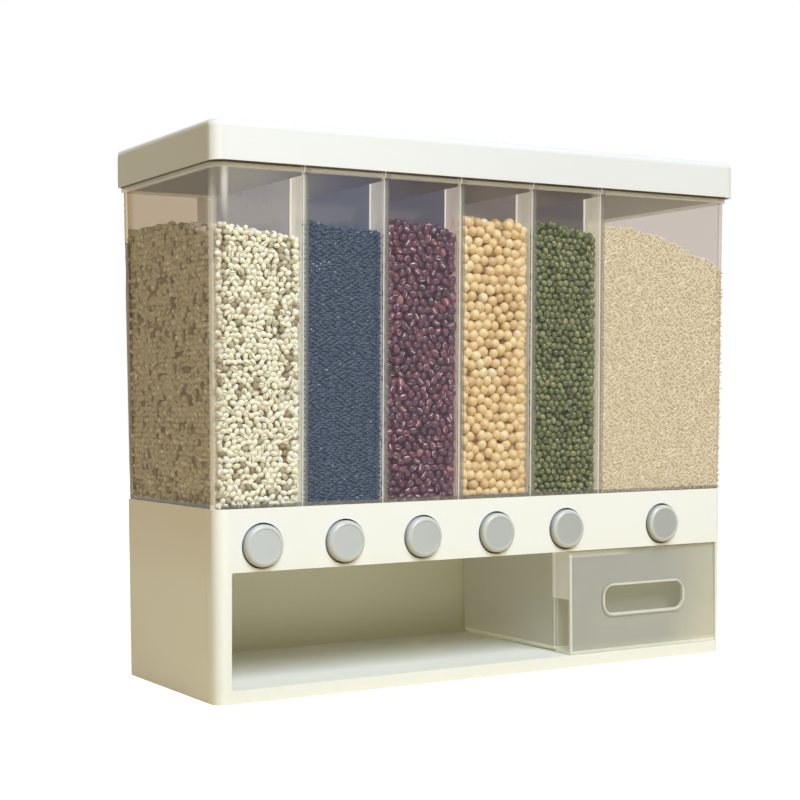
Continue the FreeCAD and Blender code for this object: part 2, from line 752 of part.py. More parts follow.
def make_gate(number):
    body = new_body(f"gate_slide_{number + 1}")
    plate = new_sketch(body, "XY_Plane", gate_bottom)
    rectangle(plate, "(-gate_width / 2)", "(gate_width / 2)", yoke_front, gate_back)
    pad(body, plate, "gate_thickness")
    window = new_sketch(body, "XY_Plane", gate_top)
    window_middle = f"({outlet_y} - gate_travel)"
    rectangle(window, "(-outlet_width / 2)", "(outlet_width / 2)",
              f"({window_middle} - gate_window_length / 2)", f"({window_middle} + gate_window_length / 2)")
    pocket(body, window, "gate_thickness")

    yoke = new_sketch(body, "XY_Plane", gate_top)
    rectangle(yoke, "(-yoke_width / 2)", "(yoke_width / 2)", yoke_front, yoke_back)
    pad(body, yoke, f"({button_level} + stem_width / 2 - {gate_top})")
    stem = new_sketch(body, "XZ_Plane", f"-({yoke_front} + yoke_thickness / 2)")
    rectangle(stem, "(-stem_width / 2)", "(stem_width / 2)", f"({button_level} - stem_width / 2)",
              f"({button_level} + stem_width / 2)")
    pad(body, stem, f"({yoke_front} + yoke_thickness / 2 - {cap_inside})")
    body.setExpression("Placement.Base.x", bound(channels[number]))
    return body


def make_button(number):
    body = new_body(f"button_cap_{number + 1}")
    profile = new_sketch(body, "YZ_Plane", "0", button_level)
    polygon(profile, [
        (cap_front, "0"),
        (cap_front, "button_radius"),
        (cap_back, "button_radius"),
        (cap_back, "0"),
    ])
    turned = body.newObject("PartDesign::Revolution", f"{body.Name}_turned")
    turned.Profile = profile
    turned.ReferenceAxis = (profile, ["H_Axis"])
    socket = new_sketch(body, "XZ_Plane", f"-{cap_back}")
    half = "(stem_width / 2 + stem_clearance)"
    rectangle(socket, f"-{half}", half, f"({button_level} - {half})", f"({button_level} + {half})")
    pocket(body, socket, f"({cap_back} - {cap_inside})", backwards=True)
    body.setExpression("Placement.Base.x", bound(channels[number]))
    return body


def make_spring(number):
    """A return spring wound in short straight runs, because it stays out of sight."""
    runs_per_turn = 6
    radius = value("spring_radius")
    wire = value("spring_wire")
    start = value(f"({cap_back} + spring_seat_gap + spring_wire / 2)")
    end = value(f"({bearing_front} - spring_seat_gap - spring_wire / 2)")
    runs = round(value("spring_turns")) * runs_per_turn
    points = []
    for index in range(runs + 1):
        angle = 2 * math.pi * index / runs_per_turn
        along = start + (end - start) * index / runs
        points.append(FreeCAD.Vector(radius * math.cos(angle), along, radius * math.sin(angle)))
    forward = (points[1] - points[0]).normalize()
    across = FreeCAD.Vector(1, 0, 0)
    across = (across - forward * across.dot(forward)).normalize() * wire / 2
    up = forward.cross(across)
    corners = [points[0] + offset for offset in (across + up, up - across, -across - up, across - up)]
    path = Part.makePolygon(points)
    square = Part.makePolygon(corners + corners[:1])
    feature = doc.addObject("Part::Feature", f"return_spring_{number + 1}")
    mitred_corners = 1
    feature.Shape = path.makePipeShell([square], True, False, mitred_corners)
    feature.Label = f"return_spring_{number + 1}"
    feature.Placement = FreeCAD.Placement()
    feature.setExpression("Placement.Base.x", bound(channels[number]))
    feature.setExpression("Placement.Base.z", bound(button_level))
    return feature


# catch drawer: open box with a finger space between its front wall and its slotted panel

def make_drawer():
    body = new_body("catch_drawer")
    right = f"({bay_right} - drawer_side_gap)"
    left = f"({right} - drawer_width)"
    low = "(floor_height + drawer_lift)"
    drawer_height = f"({deck_bottom} - spout_drop - drawer_top_gap - {low})"
    panel_front = f"({base_front} + drawer_setback)"
    box_front = f"({panel_front} + drawer_wall + finger_gap)"
    box_back = f"({box_front} + drawer_length)"

    foot = new_sketch(body, "XY_Plane", low)
    rectangle(foot, left, right, box_front, box_back)
    box = pad(body, foot, drawer_height)
    foot_level, front, back = (value(formula) for formula in (low, box_front, box_back))

    def is_round(edge):
        first, last = (vertex.Point for vertex in edge.Vertexes)
        in_foot = is_near(first.z, foot_level) and is_near(last.z, foot_level)
        in_front = is_near(first.y, front) and is_near(last.y, front)
        in_back = is_near(first.y, back) and is_near(last.y, back)
        return (in_foot and not in_front) or (in_back and is_near(first.x, last.x))

    round_edges(body, box, "drawer_round", is_round)
    inside = new_sketch(body, "XY_Plane", f"({low} + drawer_wall)")
    rounded_rectangle(inside, f"({left} + drawer_wall)", f"({right} - drawer_wall)",
                      f"({box_front} + drawer_wall)", f"({box_back} - drawer_wall)",
                      "drawer_wall", "(drawer_round - drawer_wall)")
    pocket(body, inside, f"({drawer_height} - drawer_wall)", backwards=True)

    lap = f"({box_front} + drawer_wall)"
    plate = new_sketch(body, "XY_Plane", low)
    rectangle(plate, left, right, panel_front, lap)
    pad(body, plate, "drawer_wall")
    panel = new_sketch(body, "XY_Plane", low)
    rectangle(panel, left, right, panel_front, f"({panel_front} + drawer_wall)")
    pad(body, panel, drawer_height)
    flaps = new_sketch(body, "XY_Plane", f"({low} + {drawer_height})")
    rectangle(flaps, left, f"({left} + drawer_wall)", panel_front, lap)
    rectangle(flaps, f"({right} - drawer_wall)", right, panel_front, lap)
    pad(body, flaps, "flap_height", backwards=True)

    middle_x = f"({left} + drawer_width / 2)"
    middle_level = f"({low} + {drawer_height} / 2 + slot_rise)"

    def slot(sketch, margin):
        half_x = f"(slot_width / 2 + {margin})"
        half_z = f"(slot_height / 2 + {margin})"
        rounded_rectangle(sketch, f"({middle_x} - {half_x})", f"({middle_x} + {half_x})",
                          f"({middle_level} - {half_z})", f"({middle_level} + {half_z})",
                          f"(slot_corner + {margin})", f"(slot_corner + {margin})")

    rim = new_sketch(body, "XZ_Plane", f"-({panel_front} + drawer_wall / 2)")
    slot(rim, "slot_rim")
    pad(body, rim, "(drawer_wall / 2 + slot_rim_proud)")
    hole = new_sketch(body, "XZ_Plane", f"-({panel_front} + drawer_wall + cut_margin)")
    slot(hole, "0")
    pocket(body, hole, "(drawer_wall + slot_rim_proud + 2 * cut_margin)", backwards=True)
    return body


# wall bracket: a folded strip screwed to the wall, whose tongue carries the bin's rail

def make_wall_bracket():
    body = new_body("wall_bracket")
    tongue_top = f"({rail_level} - rail_clearance)"
    jog = f"({rail_level} - tongue_height)"
    foot = f"({jog} - bracket_height)"
    plate_front = f"({wall_plane} - bracket_sheet)"
    tongue_back = f"({wall_plane} - tongue_offset)"
    tongue_front = f"({tongue_back} - bracket_sheet)"
    section = new_sketch(body, "YZ_Plane")
    polygon(section, [
        (plate_front, foot),
        (wall_plane, foot),
        (wall_plane, jog),
        (tongue_back, jog),
        (tongue_back, tongue_top),
        (tongue_front, tongue_top),
        (tongue_front, f"({jog} - bracket_sheet)"),
        (plate_front, f"({jog} - bracket_sheet)"),
    ])
    pad(body, section, "bracket_width", both_ways=True)
    holes = new_sketch(body, "XZ_Plane", f"-({wall_plane} + cut_margin)")
    for side in ("-", ""):
        circle(holes, f"{side}wall_screw_spacing / 2", f"({jog} - bracket_height / 2)", "wall_screw_radius")
    pocket(body, holes, "(bracket_sheet + 2 * cut_margin)", backwards=True)
    return body


# deck screws: alike, each a hexagon head and a plain shank

def make_deck_screws():
    screws = []
    for x, y in screw_places:
        head = doc.addObject("Part::Prism", "screw_head")
        head.Polygon = 6
        head.setExpression("Circumradius", bound("screw_head_radius"))
        head.setExpression("Height", bound("screw_head_height"))
        head.setExpression("Placement.Base.z", bound(f"({deck_bottom} - screw_head_height)"))
        shank = doc.addObject("Part::Cylinder", "screw_shank")
        shank.setExpression("Radius", bound("screw_radius"))
        shank.setExpression("Height", bound("(deck_thickness + screw_length)"))
        shank.setExpression("Placement.Base.z", bound(deck_bottom))
        for piece in (head, shank):
            piece.setExpression("Placement.Base.x", bound(x))
            piece.setExpression("Placement.Base.y", bound(y))
        screw = doc.addObject("Part::Fuse", "screw")
        screw.Base = head
        screw.Tool = shank
        screws.append(screw)
    group = doc.addObject("Part::Compound", "deck_screws")
    group.Label = "deck_screws"
    group.Links = screws
    return group


nodes = [make_base_housing(), make_bin_body(), make_hopper_tray(), make_mechanism_deck()]
nodes += [make_partition(number) for number in range(5)]
nodes += [make_lid_shell(), make_lid_seal()]
for number in range(6):
    nodes += [make_gate(number), make_button(number), make_spring(number)]
nodes += [make_drawer(), make_wall_bracket(), make_deck_screws()]
doc.recompute()

# nothing is written unless every feature and every piece is sound
for item in doc.Objects:
    if "Invalid" in item.State or "Error" in item.State:
        raise RuntimeError(f"{item.Label} did not build: {item.State}")
for node in nodes:
    if node.Shape.isNull() or not node.Shape.isValid():
        raise RuntimeError(f"{node.Label} has no valid shape")
for body in (node for node in nodes if node.isDerivedFrom("PartDesign::Body")):
    before = 0
    for feature in body.Group:
        if feature.isDerivedFrom("PartDesign::Feature"):
            if abs(feature.Shape.Volume - before) < 0.001:
                raise RuntimeError(f"{feature.Label} changed nothing")
            before = feature.Shape.Volume

os.makedirs("parts", exist_ok=True)
for node in nodes:
    node.Shape.exportStep(f"parts/{node.Label}.step")
    box = node.Shape.BoundBox
    print(f"{node.Label:18} {node.Shape.Volume / 1000:8.2f} cm3, {len(node.Shape.Solids)} solids,"
          f" X {box.XMin:.1f} to {box.XMax:.1f}, Y {box.YMin:.1f} to {box.YMax:.1f},"
          f" Z {box.ZMin:.1f} to {box.ZMax:.1f}")
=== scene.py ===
# A wall-mounted dry food dispenser, dressed: plastics, push buttons, springs and the grain in its bin.
# Metres, +Z up, the front faces -Y.

import json
import math
import random

import bpy
import numpy as np
from mathutils import Matrix, Vector
from mathutils.kdtree import KDTree


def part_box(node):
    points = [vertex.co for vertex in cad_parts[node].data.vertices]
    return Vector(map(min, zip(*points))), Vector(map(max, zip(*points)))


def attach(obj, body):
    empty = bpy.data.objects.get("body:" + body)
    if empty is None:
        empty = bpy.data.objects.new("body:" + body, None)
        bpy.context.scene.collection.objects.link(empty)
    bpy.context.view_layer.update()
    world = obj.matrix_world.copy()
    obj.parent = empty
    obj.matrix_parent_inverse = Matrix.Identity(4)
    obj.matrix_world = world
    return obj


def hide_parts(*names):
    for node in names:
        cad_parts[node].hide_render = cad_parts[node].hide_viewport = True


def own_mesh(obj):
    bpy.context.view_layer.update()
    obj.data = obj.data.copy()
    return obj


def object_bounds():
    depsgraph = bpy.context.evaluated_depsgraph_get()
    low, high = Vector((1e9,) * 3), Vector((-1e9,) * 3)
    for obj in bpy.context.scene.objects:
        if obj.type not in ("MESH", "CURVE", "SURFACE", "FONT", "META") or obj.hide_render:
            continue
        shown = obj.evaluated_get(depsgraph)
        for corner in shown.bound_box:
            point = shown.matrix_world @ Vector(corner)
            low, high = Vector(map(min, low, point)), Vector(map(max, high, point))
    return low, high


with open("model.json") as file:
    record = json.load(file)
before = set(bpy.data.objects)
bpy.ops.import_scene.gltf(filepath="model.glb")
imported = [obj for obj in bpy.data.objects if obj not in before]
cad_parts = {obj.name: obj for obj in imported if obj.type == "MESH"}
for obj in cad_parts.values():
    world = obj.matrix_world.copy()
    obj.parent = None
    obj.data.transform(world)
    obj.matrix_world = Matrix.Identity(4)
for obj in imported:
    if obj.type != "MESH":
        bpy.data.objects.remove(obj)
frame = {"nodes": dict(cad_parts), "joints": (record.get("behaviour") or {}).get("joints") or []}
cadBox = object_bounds()
print("frame loaded:", len(frame["nodes"]), "nodes")


# camera

viewpoint = {
    "place": (-0.6559, -1.0409, 0.1970),
    "turnRight": 30.916,      # degrees, from looking straight at the front
    "roll": -0.367,           # degrees
    "lens": 73.9,
}


def makeCamera():
    bpy.ops.object.camera_add()
    camera = bpy.context.object
    camera.name = "photoCamera"
    camera.data.lens = viewpoint["lens"]
    level = (Matrix.Rotation(-math.radians(viewpoint["turnRight"]), 4, "Z")
             @ Matrix.Rotation(math.pi / 2, 4, "X"))
    tilt = Matrix.Rotation(math.radians(viewpoint["roll"]), 4, "Z")
    camera.matrix_world = Matrix.Translation(viewpoint["place"]) @ level @ tilt
    bpy.context.scene.camera = camera


makeCamera()
bpy.context.scene.view_settings.view_transform = "Standard"
print("camera set")


# node maths: a socket in a material, with the operators that its expressions use

class Value:
    def __init__(self, finish, socket):
        self.finish = finish
        self.socket = socket

    def combine(self, operation, first, second):
        return self.finish.node("Math", {"operation": operation}, {0: first, 1: second})

    def __add__(self, other):
        return self.combine("ADD", self, other)

    def __sub__(self, other):
        return self.combine("SUBTRACT", self, other)

    def __mul__(self, other):
        return self.combine("MULTIPLY", self, other)

    def __gt__(self, other):
        return self.combine("GREATER_THAN", self, other)

    def __lt__(self, other):
        return self.combine("LESS_THAN", self, other)

    def __rsub__(self, other):
        return self.combine("SUBTRACT", other, self)

    def __abs__(self):
        return self.finish.node("Math", {"operation": "ABSOLUTE"}, {0: self})

    def clamped(self):
        return self.finish.node("Clamp", {}, {"Value": self})

    def remap(self, low, high):       # 0 at low, 1 at high, soft between
        return self.finish.node("MapRange", {"interpolation_type": "SMOOTHSTEP"},
                                {"Value": self, "From Min": low, "From Max": high})

    def wrapped(self, low, high):
        return self.finish.node("Math", {"operation": "WRAP"}, {0: self, 1: high, 2: low})


class Finish:
    def __init__(self, name, tree=None):
        if tree is None:
            self.material = bpy.data.materials.new(name)
            self.material.use_nodes = True
            tree = self.material.node_tree
        self.tree = tree
        self.tree.nodes.clear()

    def node(self, kind, settings, inputs, output=None):
        made = self.tree.nodes.new("ShaderNode" + kind)
        for name, setting in settings.items():
            if name == "stops":
                ramp = made.color_ramp
                while len(ramp.elements) < len(setting):
                    ramp.elements.new(0.5)
                for element, (place, colour) in zip(ramp.elements, setting):
                    element.position = place
                    element.color = (*colour, 1)
            else:
                setattr(made, name, setting)
        for name, given in inputs.items():
            if isinstance(name, int):
                socket = made.inputs[name]
            else:
                socket = next(one for one in made.inputs if one.enabled and one.name == name)
            if isinstance(given, Value):
                self.tree.links.new(given.socket, socket)
            else:
                socket.default_value = (*given, 1) if socket.type == "RGBA" and len(given) == 3 else given
        outputs = [one for one in made.outputs if one.enabled and output in (None, one.name)]
        return Value(self, outputs[0]) if outputs else None

    def place(self):
        return self.node("TexCoord", {}, {}, "Object")

    def along(self, axis, vector=None):
        return self.node("SeparateXYZ", {}, {"Vector": vector or self.place()}, axis)

    def noise(self, scale, detail=2, roughness=0.5, stretch=None):
        vector = self.place()
        if stretch:
            vector = self.node("Mapping", {}, {"Vector": vector, "Scale": stretch})
        return self.node("TexNoise", {}, {"Vector": vector, "Scale": scale, "Detail": detail,
                                          "Roughness": roughness}, "Fac")

    def mixColour(self, factor, first, second, blend="MIX"):
        return self.node("Mix", {"data_type": "RGBA", "blend_type": blend},
                         {"Factor": factor, "A": first, "B": second})

    def beyond(self, x, z, shape):      # distance outside a rounded rectangle, from its middle's offsets
        pastX = x - (shape["width"] / 2 - shape["corner"])
        pastZ = z - (shape["height"] / 2 - shape["corner"])
        offset = self.node("CombineXYZ", {}, {"X": pastX.combine("MAXIMUM", pastX, 0.0),
                                              "Y": pastZ.combine("MAXIMUM", pastZ, 0.0)})
        return self.node("VectorMath", {"operation": "LENGTH"}, {"Vector": offset}, "Value") - shape["corner"]

    def bump(self, height, strength, distance):
        return self.node("Bump", {}, {"Height": height, "Strength": strength, "Distance": distance})

    def mixShader(self, factor, first, second):
        return self.node("MixShader", {}, {0: factor, 1: first, 2: second})

    def shadeAlong(self, place, stops):      # a colour that changes with a place in metres
        return self.node("ValToRGB", {"stops": [(0.5 + stop, colour) for stop, colour in stops]},
                         {"Fac": place + 0.5}, "Color")

    def show(self, shader, kind="Material"):
        self.node("Output" + kind, {}, {"Surface": shader})
        return getattr(self, "material", None)


def dress(names, material):
    for name in names:
        slots = frame["nodes"][name].data.materials
        slots.clear()
        slots.append(material)


# floor, world and lamps

stage = {
    "floorSize": 8.0,
    "floorColour": (0.72, 0.60, 0.33),
    "floorLift": (0.88, 0.91, 0.95),   # what the camera sees on top of the floor's own shade
    "fadeStart": 0.45,                 # the floor fades to white from here
    "fadeEnd": 1.1,
    "ambient": (0.192, 0.127, 0.036),
    # each lamp: name, power, size, distance, degrees right of the front, degrees up, colour
    "lamps": (
        ("key", 112, 1.7, 3.05, -3, 46, (0.795, 0.90, 1.0)),
        ("rear", 30, 0.7, 3.05, 180, 12, (0.82, 0.92, 1.0)),
    ),
}


def seenWhite(finish):
    camera, glossy, through = (finish.node("LightPath", {}, {}, f"Is {kind} Ray")
                               for kind in ("Camera", "Glossy", "Transmission"))
    return (camera + glossy + through).clamped()


def makeStage():
    bpy.ops.mesh.primitive_plane_add(size=stage["floorSize"])
    floor = bpy.context.object
    floor.name = "floor"
    paint = Finish("paleFloor")
    shade = paint.node("BsdfDiffuse", {}, {"Color": stage["floorColour"]})
    away = paint.node("VectorMath", {"operation": "LENGTH"}, {"Vector": paint.place()}, "Value")
    faded = away.remap(stage["fadeStart"], stage["fadeEnd"])
    fade = paint.mixColour(faded, stage["floorLift"], (1, 1, 1))
    lift = paint.node("Emission", {}, {"Color": fade, "Strength": seenWhite(paint)})
    floor.data.materials.append(paint.show(paint.node("AddShader", {}, {0: shade, 1: lift})))

    world = bpy.data.worlds.new("studio")
    world.use_nodes = True
    bpy.context.scene.world = world
    air = Finish("air", world.node_tree)
    colour = air.mixColour(seenWhite(air), stage["ambient"], (1, 1, 1))
    air.show(air.node("Background", {}, {"Color": colour, "Strength": 1.0}), "World")

    middle = (cadBox[0] + cadBox[1]) / 2
    for name, power, size, distance, right, up, colour in stage["lamps"]:
        right, up = math.radians(right), math.radians(up)
        towards = Vector((math.sin(right) * math.cos(up), -math.cos(right) * math.cos(up), math.sin(up)))
        bpy.ops.object.light_add(type="AREA", location=middle + towards * distance)
        lamp = bpy.context.object
        lamp.name = name
        lamp.rotation_euler = towards.to_track_quat("Z", "Y").to_euler()
        lamp.data.size = size
        lamp.data.energy = power
        lamp.data.color = colour
        lamp.visible_camera = False


makeStage()
print("stage ready")


# plastics, steel and rubber

baseLook = {             # the base's white, and how it turns from place to place
    "white": (0.90, 0.895, 0.850),
    "band": (0.90, 0.900, 0.885),
    "lip": (0.83, 0.820, 0.795),
    # painted shade inside the bay, darker still towards its floor
    "bay": (0.885, 0.870, 0.700),
    "bayLow": (0.76, 0.760, 0.570),
    # painted highlight: the front-left rounded corner is tinted lighter, as if lit
    "corner": (0.99, 0.985, 0.950),
    # painted shade: the left face is tinted darker, as if out of the light
    "leftSideShade": (0.835, 0.770, 0.680),
    "roughness": 0.42,
}
basePlaces = {           # where those shades hold; a pair is where one fades in
    "band": (0.084, 0.100),
    "front": -0.0735,
    "lip": 0.0088,
    "corner": (-0.2050, -0.2100),
    "cornerEnd": (-0.2159, -0.2150),
    "cornerDepth": -0.060,
    "leftSideShade": (-0.2153, -0.2159),
    "bayFloor": 0.0094,
    "bayCeiling": 0.0868,
    "bayFront": -0.0700,
    "bayHalf": 0.2095,
    "bayLow": (0.045, 0.012),
}
lidLook = {
    "white": (0.835, 0.840, 0.850),
    # painted shade: the lid's white darkens towards the right, as if the light fell off
    "right": (0.752, 0.756, 0.765),
    # painted highlight on the front-left rounded corner
    "corner": (0.99, 0.995, 1.000),
    # painted shade: the left face is tinted darker, as if out of the light
    "leftSideShade": (0.670, 0.652, 0.565),
    "roughness": 0.38,
}
lidPlaces = {
    "right": (-0.24, 0.10),
    "corner": (-0.2120, -0.2165),
    "cornerEnd": (-0.2213, -0.2198),
    "cornerDepth": -0.070,
    "cornerTop": (0.3770, 0.3750),
    "leftSideShade": (-0.2200, -0.2212),
    "ceiling": 0.3763,
    "innerFront": -0.0805,
    "innerBack": 0.0792,
    "innerLeft": -0.150,
}
lidInside = (            # along X: how the lid's inner faces are shaded, and the light the bin throws on them
    (-0.110, (1.0, 1.0, 1.0), (0.112, 0.108, 0.091)),
    (-0.035, (0.98, 1.0, 1.0), (0.0, 0.008, 0.044)),
    (0.030, (0.87, 0.89, 1.0), (0.0, 0.0, 0.015)),
    (0.100, (0.93, 0.88, 1.0), (0.0, 0.0, 0.0)),
    (0.170, (0.50, 0.53, 0.68), (0.0, 0.0, 0.0)),
    (0.203, (0.55, 0.57, 0.70), (0.0, 0.0, 0.0)),
    (0.207, (1.0, 1.0, 1.0), (0.060, 0.056, 0.052)),
)


def mouldedWhite(paint, tint, roughness, light=(0, 0, 0)):
    return paint.node("BsdfPrincipled", {}, {
        "Base Color": paint.mixColour(paint.noise(9, 3), tint, (0.975, 0.975, 0.975), "MULTIPLY"),
        "Roughness": paint.noise(30, 3) * 0.12 + (roughness - 0.06), "Specular IOR Level": 0.45,
        "Normal": paint.bump(paint.noise(1400, 2), 0.10, 0.0004),
        "Emission Color": light, "Emission Strength": 1.0})


def baseWhite(name):
    paint = Finish(name)
    places = basePlaces
    x, y, z = (paint.along(axis) for axis in "XYZ")
    front = y < places["front"]
    tint = paint.mixColour(z.remap(*places["band"]), baseLook["white"], baseLook["band"])
    tint = paint.mixColour(front * (z < places["lip"]), tint, baseLook["lip"])
    # painted highlight along the front-left rounded corner
    corner = x.remap(*places["corner"]) * x.remap(*places["cornerEnd"]) * (y < places["cornerDepth"])
    tint = paint.mixColour(corner, tint, baseLook["corner"])
    # painted shade on the left face
    tint = paint.mixColour(x.remap(*places["leftSideShade"]), tint, baseLook["leftSideShade"])
    # painted shade inside the bay, darker towards its floor
    between = (z < places["bayCeiling"]) * (z > places["bayFloor"])
    inBay = between * (y > places["bayFront"]) * (abs(x) < places["bayHalf"])
    bay = paint.mixColour(z.remap(*places["bayLow"]), baseLook["bay"], baseLook["bayLow"])
    return paint.show(mouldedWhite(paint, paint.mixColour(inBay, tint, bay), baseLook["roughness"]))


def lidWhite(name):
    paint = Finish(name)
    places = lidPlaces
    x, y, z = (paint.along(axis) for axis in "XYZ")
    # painted shade: darker towards the right
    tint = paint.mixColour(x.remap(*places["right"]), lidLook["white"], lidLook["right"])
    # painted highlight along the front-left rounded corner, below the top
    corner = x.remap(*places["corner"]) * x.remap(*places["cornerEnd"]) * (y < places["cornerDepth"])
    tint = paint.mixColour(corner * z.remap(*places["cornerTop"]), tint, lidLook["corner"])
    # painted shade on the left face
    tint = paint.mixColour(x.remap(*places["leftSideShade"]), tint, lidLook["leftSideShade"])
    within = (z < places["ceiling"]) * (y > places["innerFront"]) * (y < places["innerBack"])
    within = within * (x > places["innerLeft"])
    shade, light = (paint.shadeAlong(x, [(row[0], row[column]) for row in lidInside]) for column in (1, 2))
    tint = paint.mixColour(within, tint, paint.mixColour(1.0, tint, shade, "MULTIPLY"))
    light = paint.mixColour(within, (0, 0, 0), light)
    return paint.show(mouldedWhite(paint, tint, lidLook["roughness"], light))


def steel(name):
    paint = Finish(name)
    streaks = paint.noise(260, 3, 0.6, (0.06, 1, 1))
    shader = paint.node("BsdfPrincipled", {}, {
        "Base Color": paint.mixColour(streaks, (0.62, 0.62, 0.61), (0.50, 0.50, 0.50)), "Metallic": 1.0,
        "Roughness": streaks * 0.15 + 0.28, "Normal": paint.bump(streaks, 0.15, 0.0002)})
    return paint.show(shader)


def softRubber(name):
    paint = Finish(name)
    shader = paint.node("BsdfPrincipled", {}, {
        "Base Color": paint.mixColour(paint.noise(60, 3), (0.70, 0.70, 0.68), (0.62, 0.62, 0.60)),
        "Roughness": paint.noise(90) * 0.1 + 0.6, "Normal": paint.bump(paint.noise(900), 0.15, 0.0003)})
    return paint.show(shader)


binInside = {            # the clear bin's inner faces at its foot, and how far each moves out at the top
    "foot": 0.127,
    "height": 0.221,
    "front": -0.0718,
    "frontLean": -0.005,
    "back": 0.0758,
    "backLean": 0.0025,
    "side": 0.2126,
    "sideLean": 0.0025,
    "ribDepth": 0.018,
    "ribThickness": 0.0034,
}
dividers = [(low.x + high.x) / 2 for low, high in (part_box(f"partition_{number}") for number in range(1, 6))]
dividerPitch = dividers[1] - dividers[0]


clearLook = {            # how much of its own shade the plastic shows, place by place, and its colours
    "base": 0.006,
    "edgeOn": 0.14,
    "rib": 0.40,
    # painted highlight along the ribs' rear edges
    "ribEdge": 0.45,
    "root": 0.40,
    # painted highlight along the left face of each rib's root
    "rootHighlight": 0.55,
    "line": 0.62,
    # the rim's band below the lid shows lit by painted light
    "rim": 0.40,
    "foot": 0.62,
    # painted highlight lines on the rounded front-left corner
    "corner": 0.24,
    "backBand": 0.75,
    "backLine": 0.30,
    "body": ((0.86, 0.85, 0.81), (0.80, 0.79, 0.76)),
    "rootBody": (0.33, 0.32, 0.30),
    "lineBody": (0.16, 0.145, 0.125),
    "bandBody": (0.36, 0.30, 0.24),
    "grainBody": ((0.14, 0.10, 0.055), (0.56, 0.46, 0.32)),
    # painted light: the clear plastic glows though it is no lamp
    "paintedLight": (0.32, 0.30, 0.27),
    "edgePaintedLight": (0.50, 0.485, 0.41),
    # painted light on the band on the back wall
    "bandPaintedLight": (0.25, 0.22, 0.165),
    # painted shade: the ribs' painted light is dimmed lower down
    "lowRibShade": (0.70, 0.70, 0.72),
    "front": (0.965, 0.96, 0.955),
    "side": (0.865, 0.84, 0.83),
    "rightSide": (0.81, 0.762, 0.73),
    "back": (0.815, 0.745, 0.64),
    "backCorner": (0.76, 0.68, 0.57),
}
clearPlaces = {          # where those shades hold; a pair is where one fades in
    "skin": 0.0004,            # what is less than this behind the front wall's inner face is the wall
    "ribEdge": 0.001,
    "ribHalf": 0.165,
    "lowRibShade": (0.318, 0.300),
    "lowRibHalf": 0.12,
    "rootLeft": -0.17,
    "rootRight": 0.12,
    "rootHighlight": (0.0003, 0.0007),      # outside and inside the rib's left face
    "rootLine": 0.0009,
    "rimStart": 0.0002,
    "band": 0.0026,            # height of the rim's light band and of the dark line at the foot
    "frontBend": -0.2101,
    "frontBendWidth": (0.0036, 0.0012),
    "frontBendHeight": (0.306, 0.338),
    "sideBend": 0.0051,
    "sideBendWidth": (0.0038, 0.0014),
    "sideBendHeight": (0.345, 0.322),
    "sideBendLeft": -0.2115,
    "back": 0.070,
    "backBand": (-0.1585, -0.1515),    # its left and right edge
    "endWall": 0.2095,
    "backEdge": 0.0735,
    "grainTop": 0.3120,
    "backLine": 0.0765,
    "backLineLeft": -0.2150,
}
ribPaintedLight = (              # painted light on the clear ribs, from left to right: they glow though they are no lamp
    (dividers[0], (0.40, 0.38, 0.335)),
    (dividers[1], (0.275, 0.275, 0.280)),
    (dividers[2], (0.285, 0.235, 0.225)),
    (dividers[3], (0.275, 0.255, 0.215)),
    (dividers[4], (0.325, 0.305, 0.245)),
)


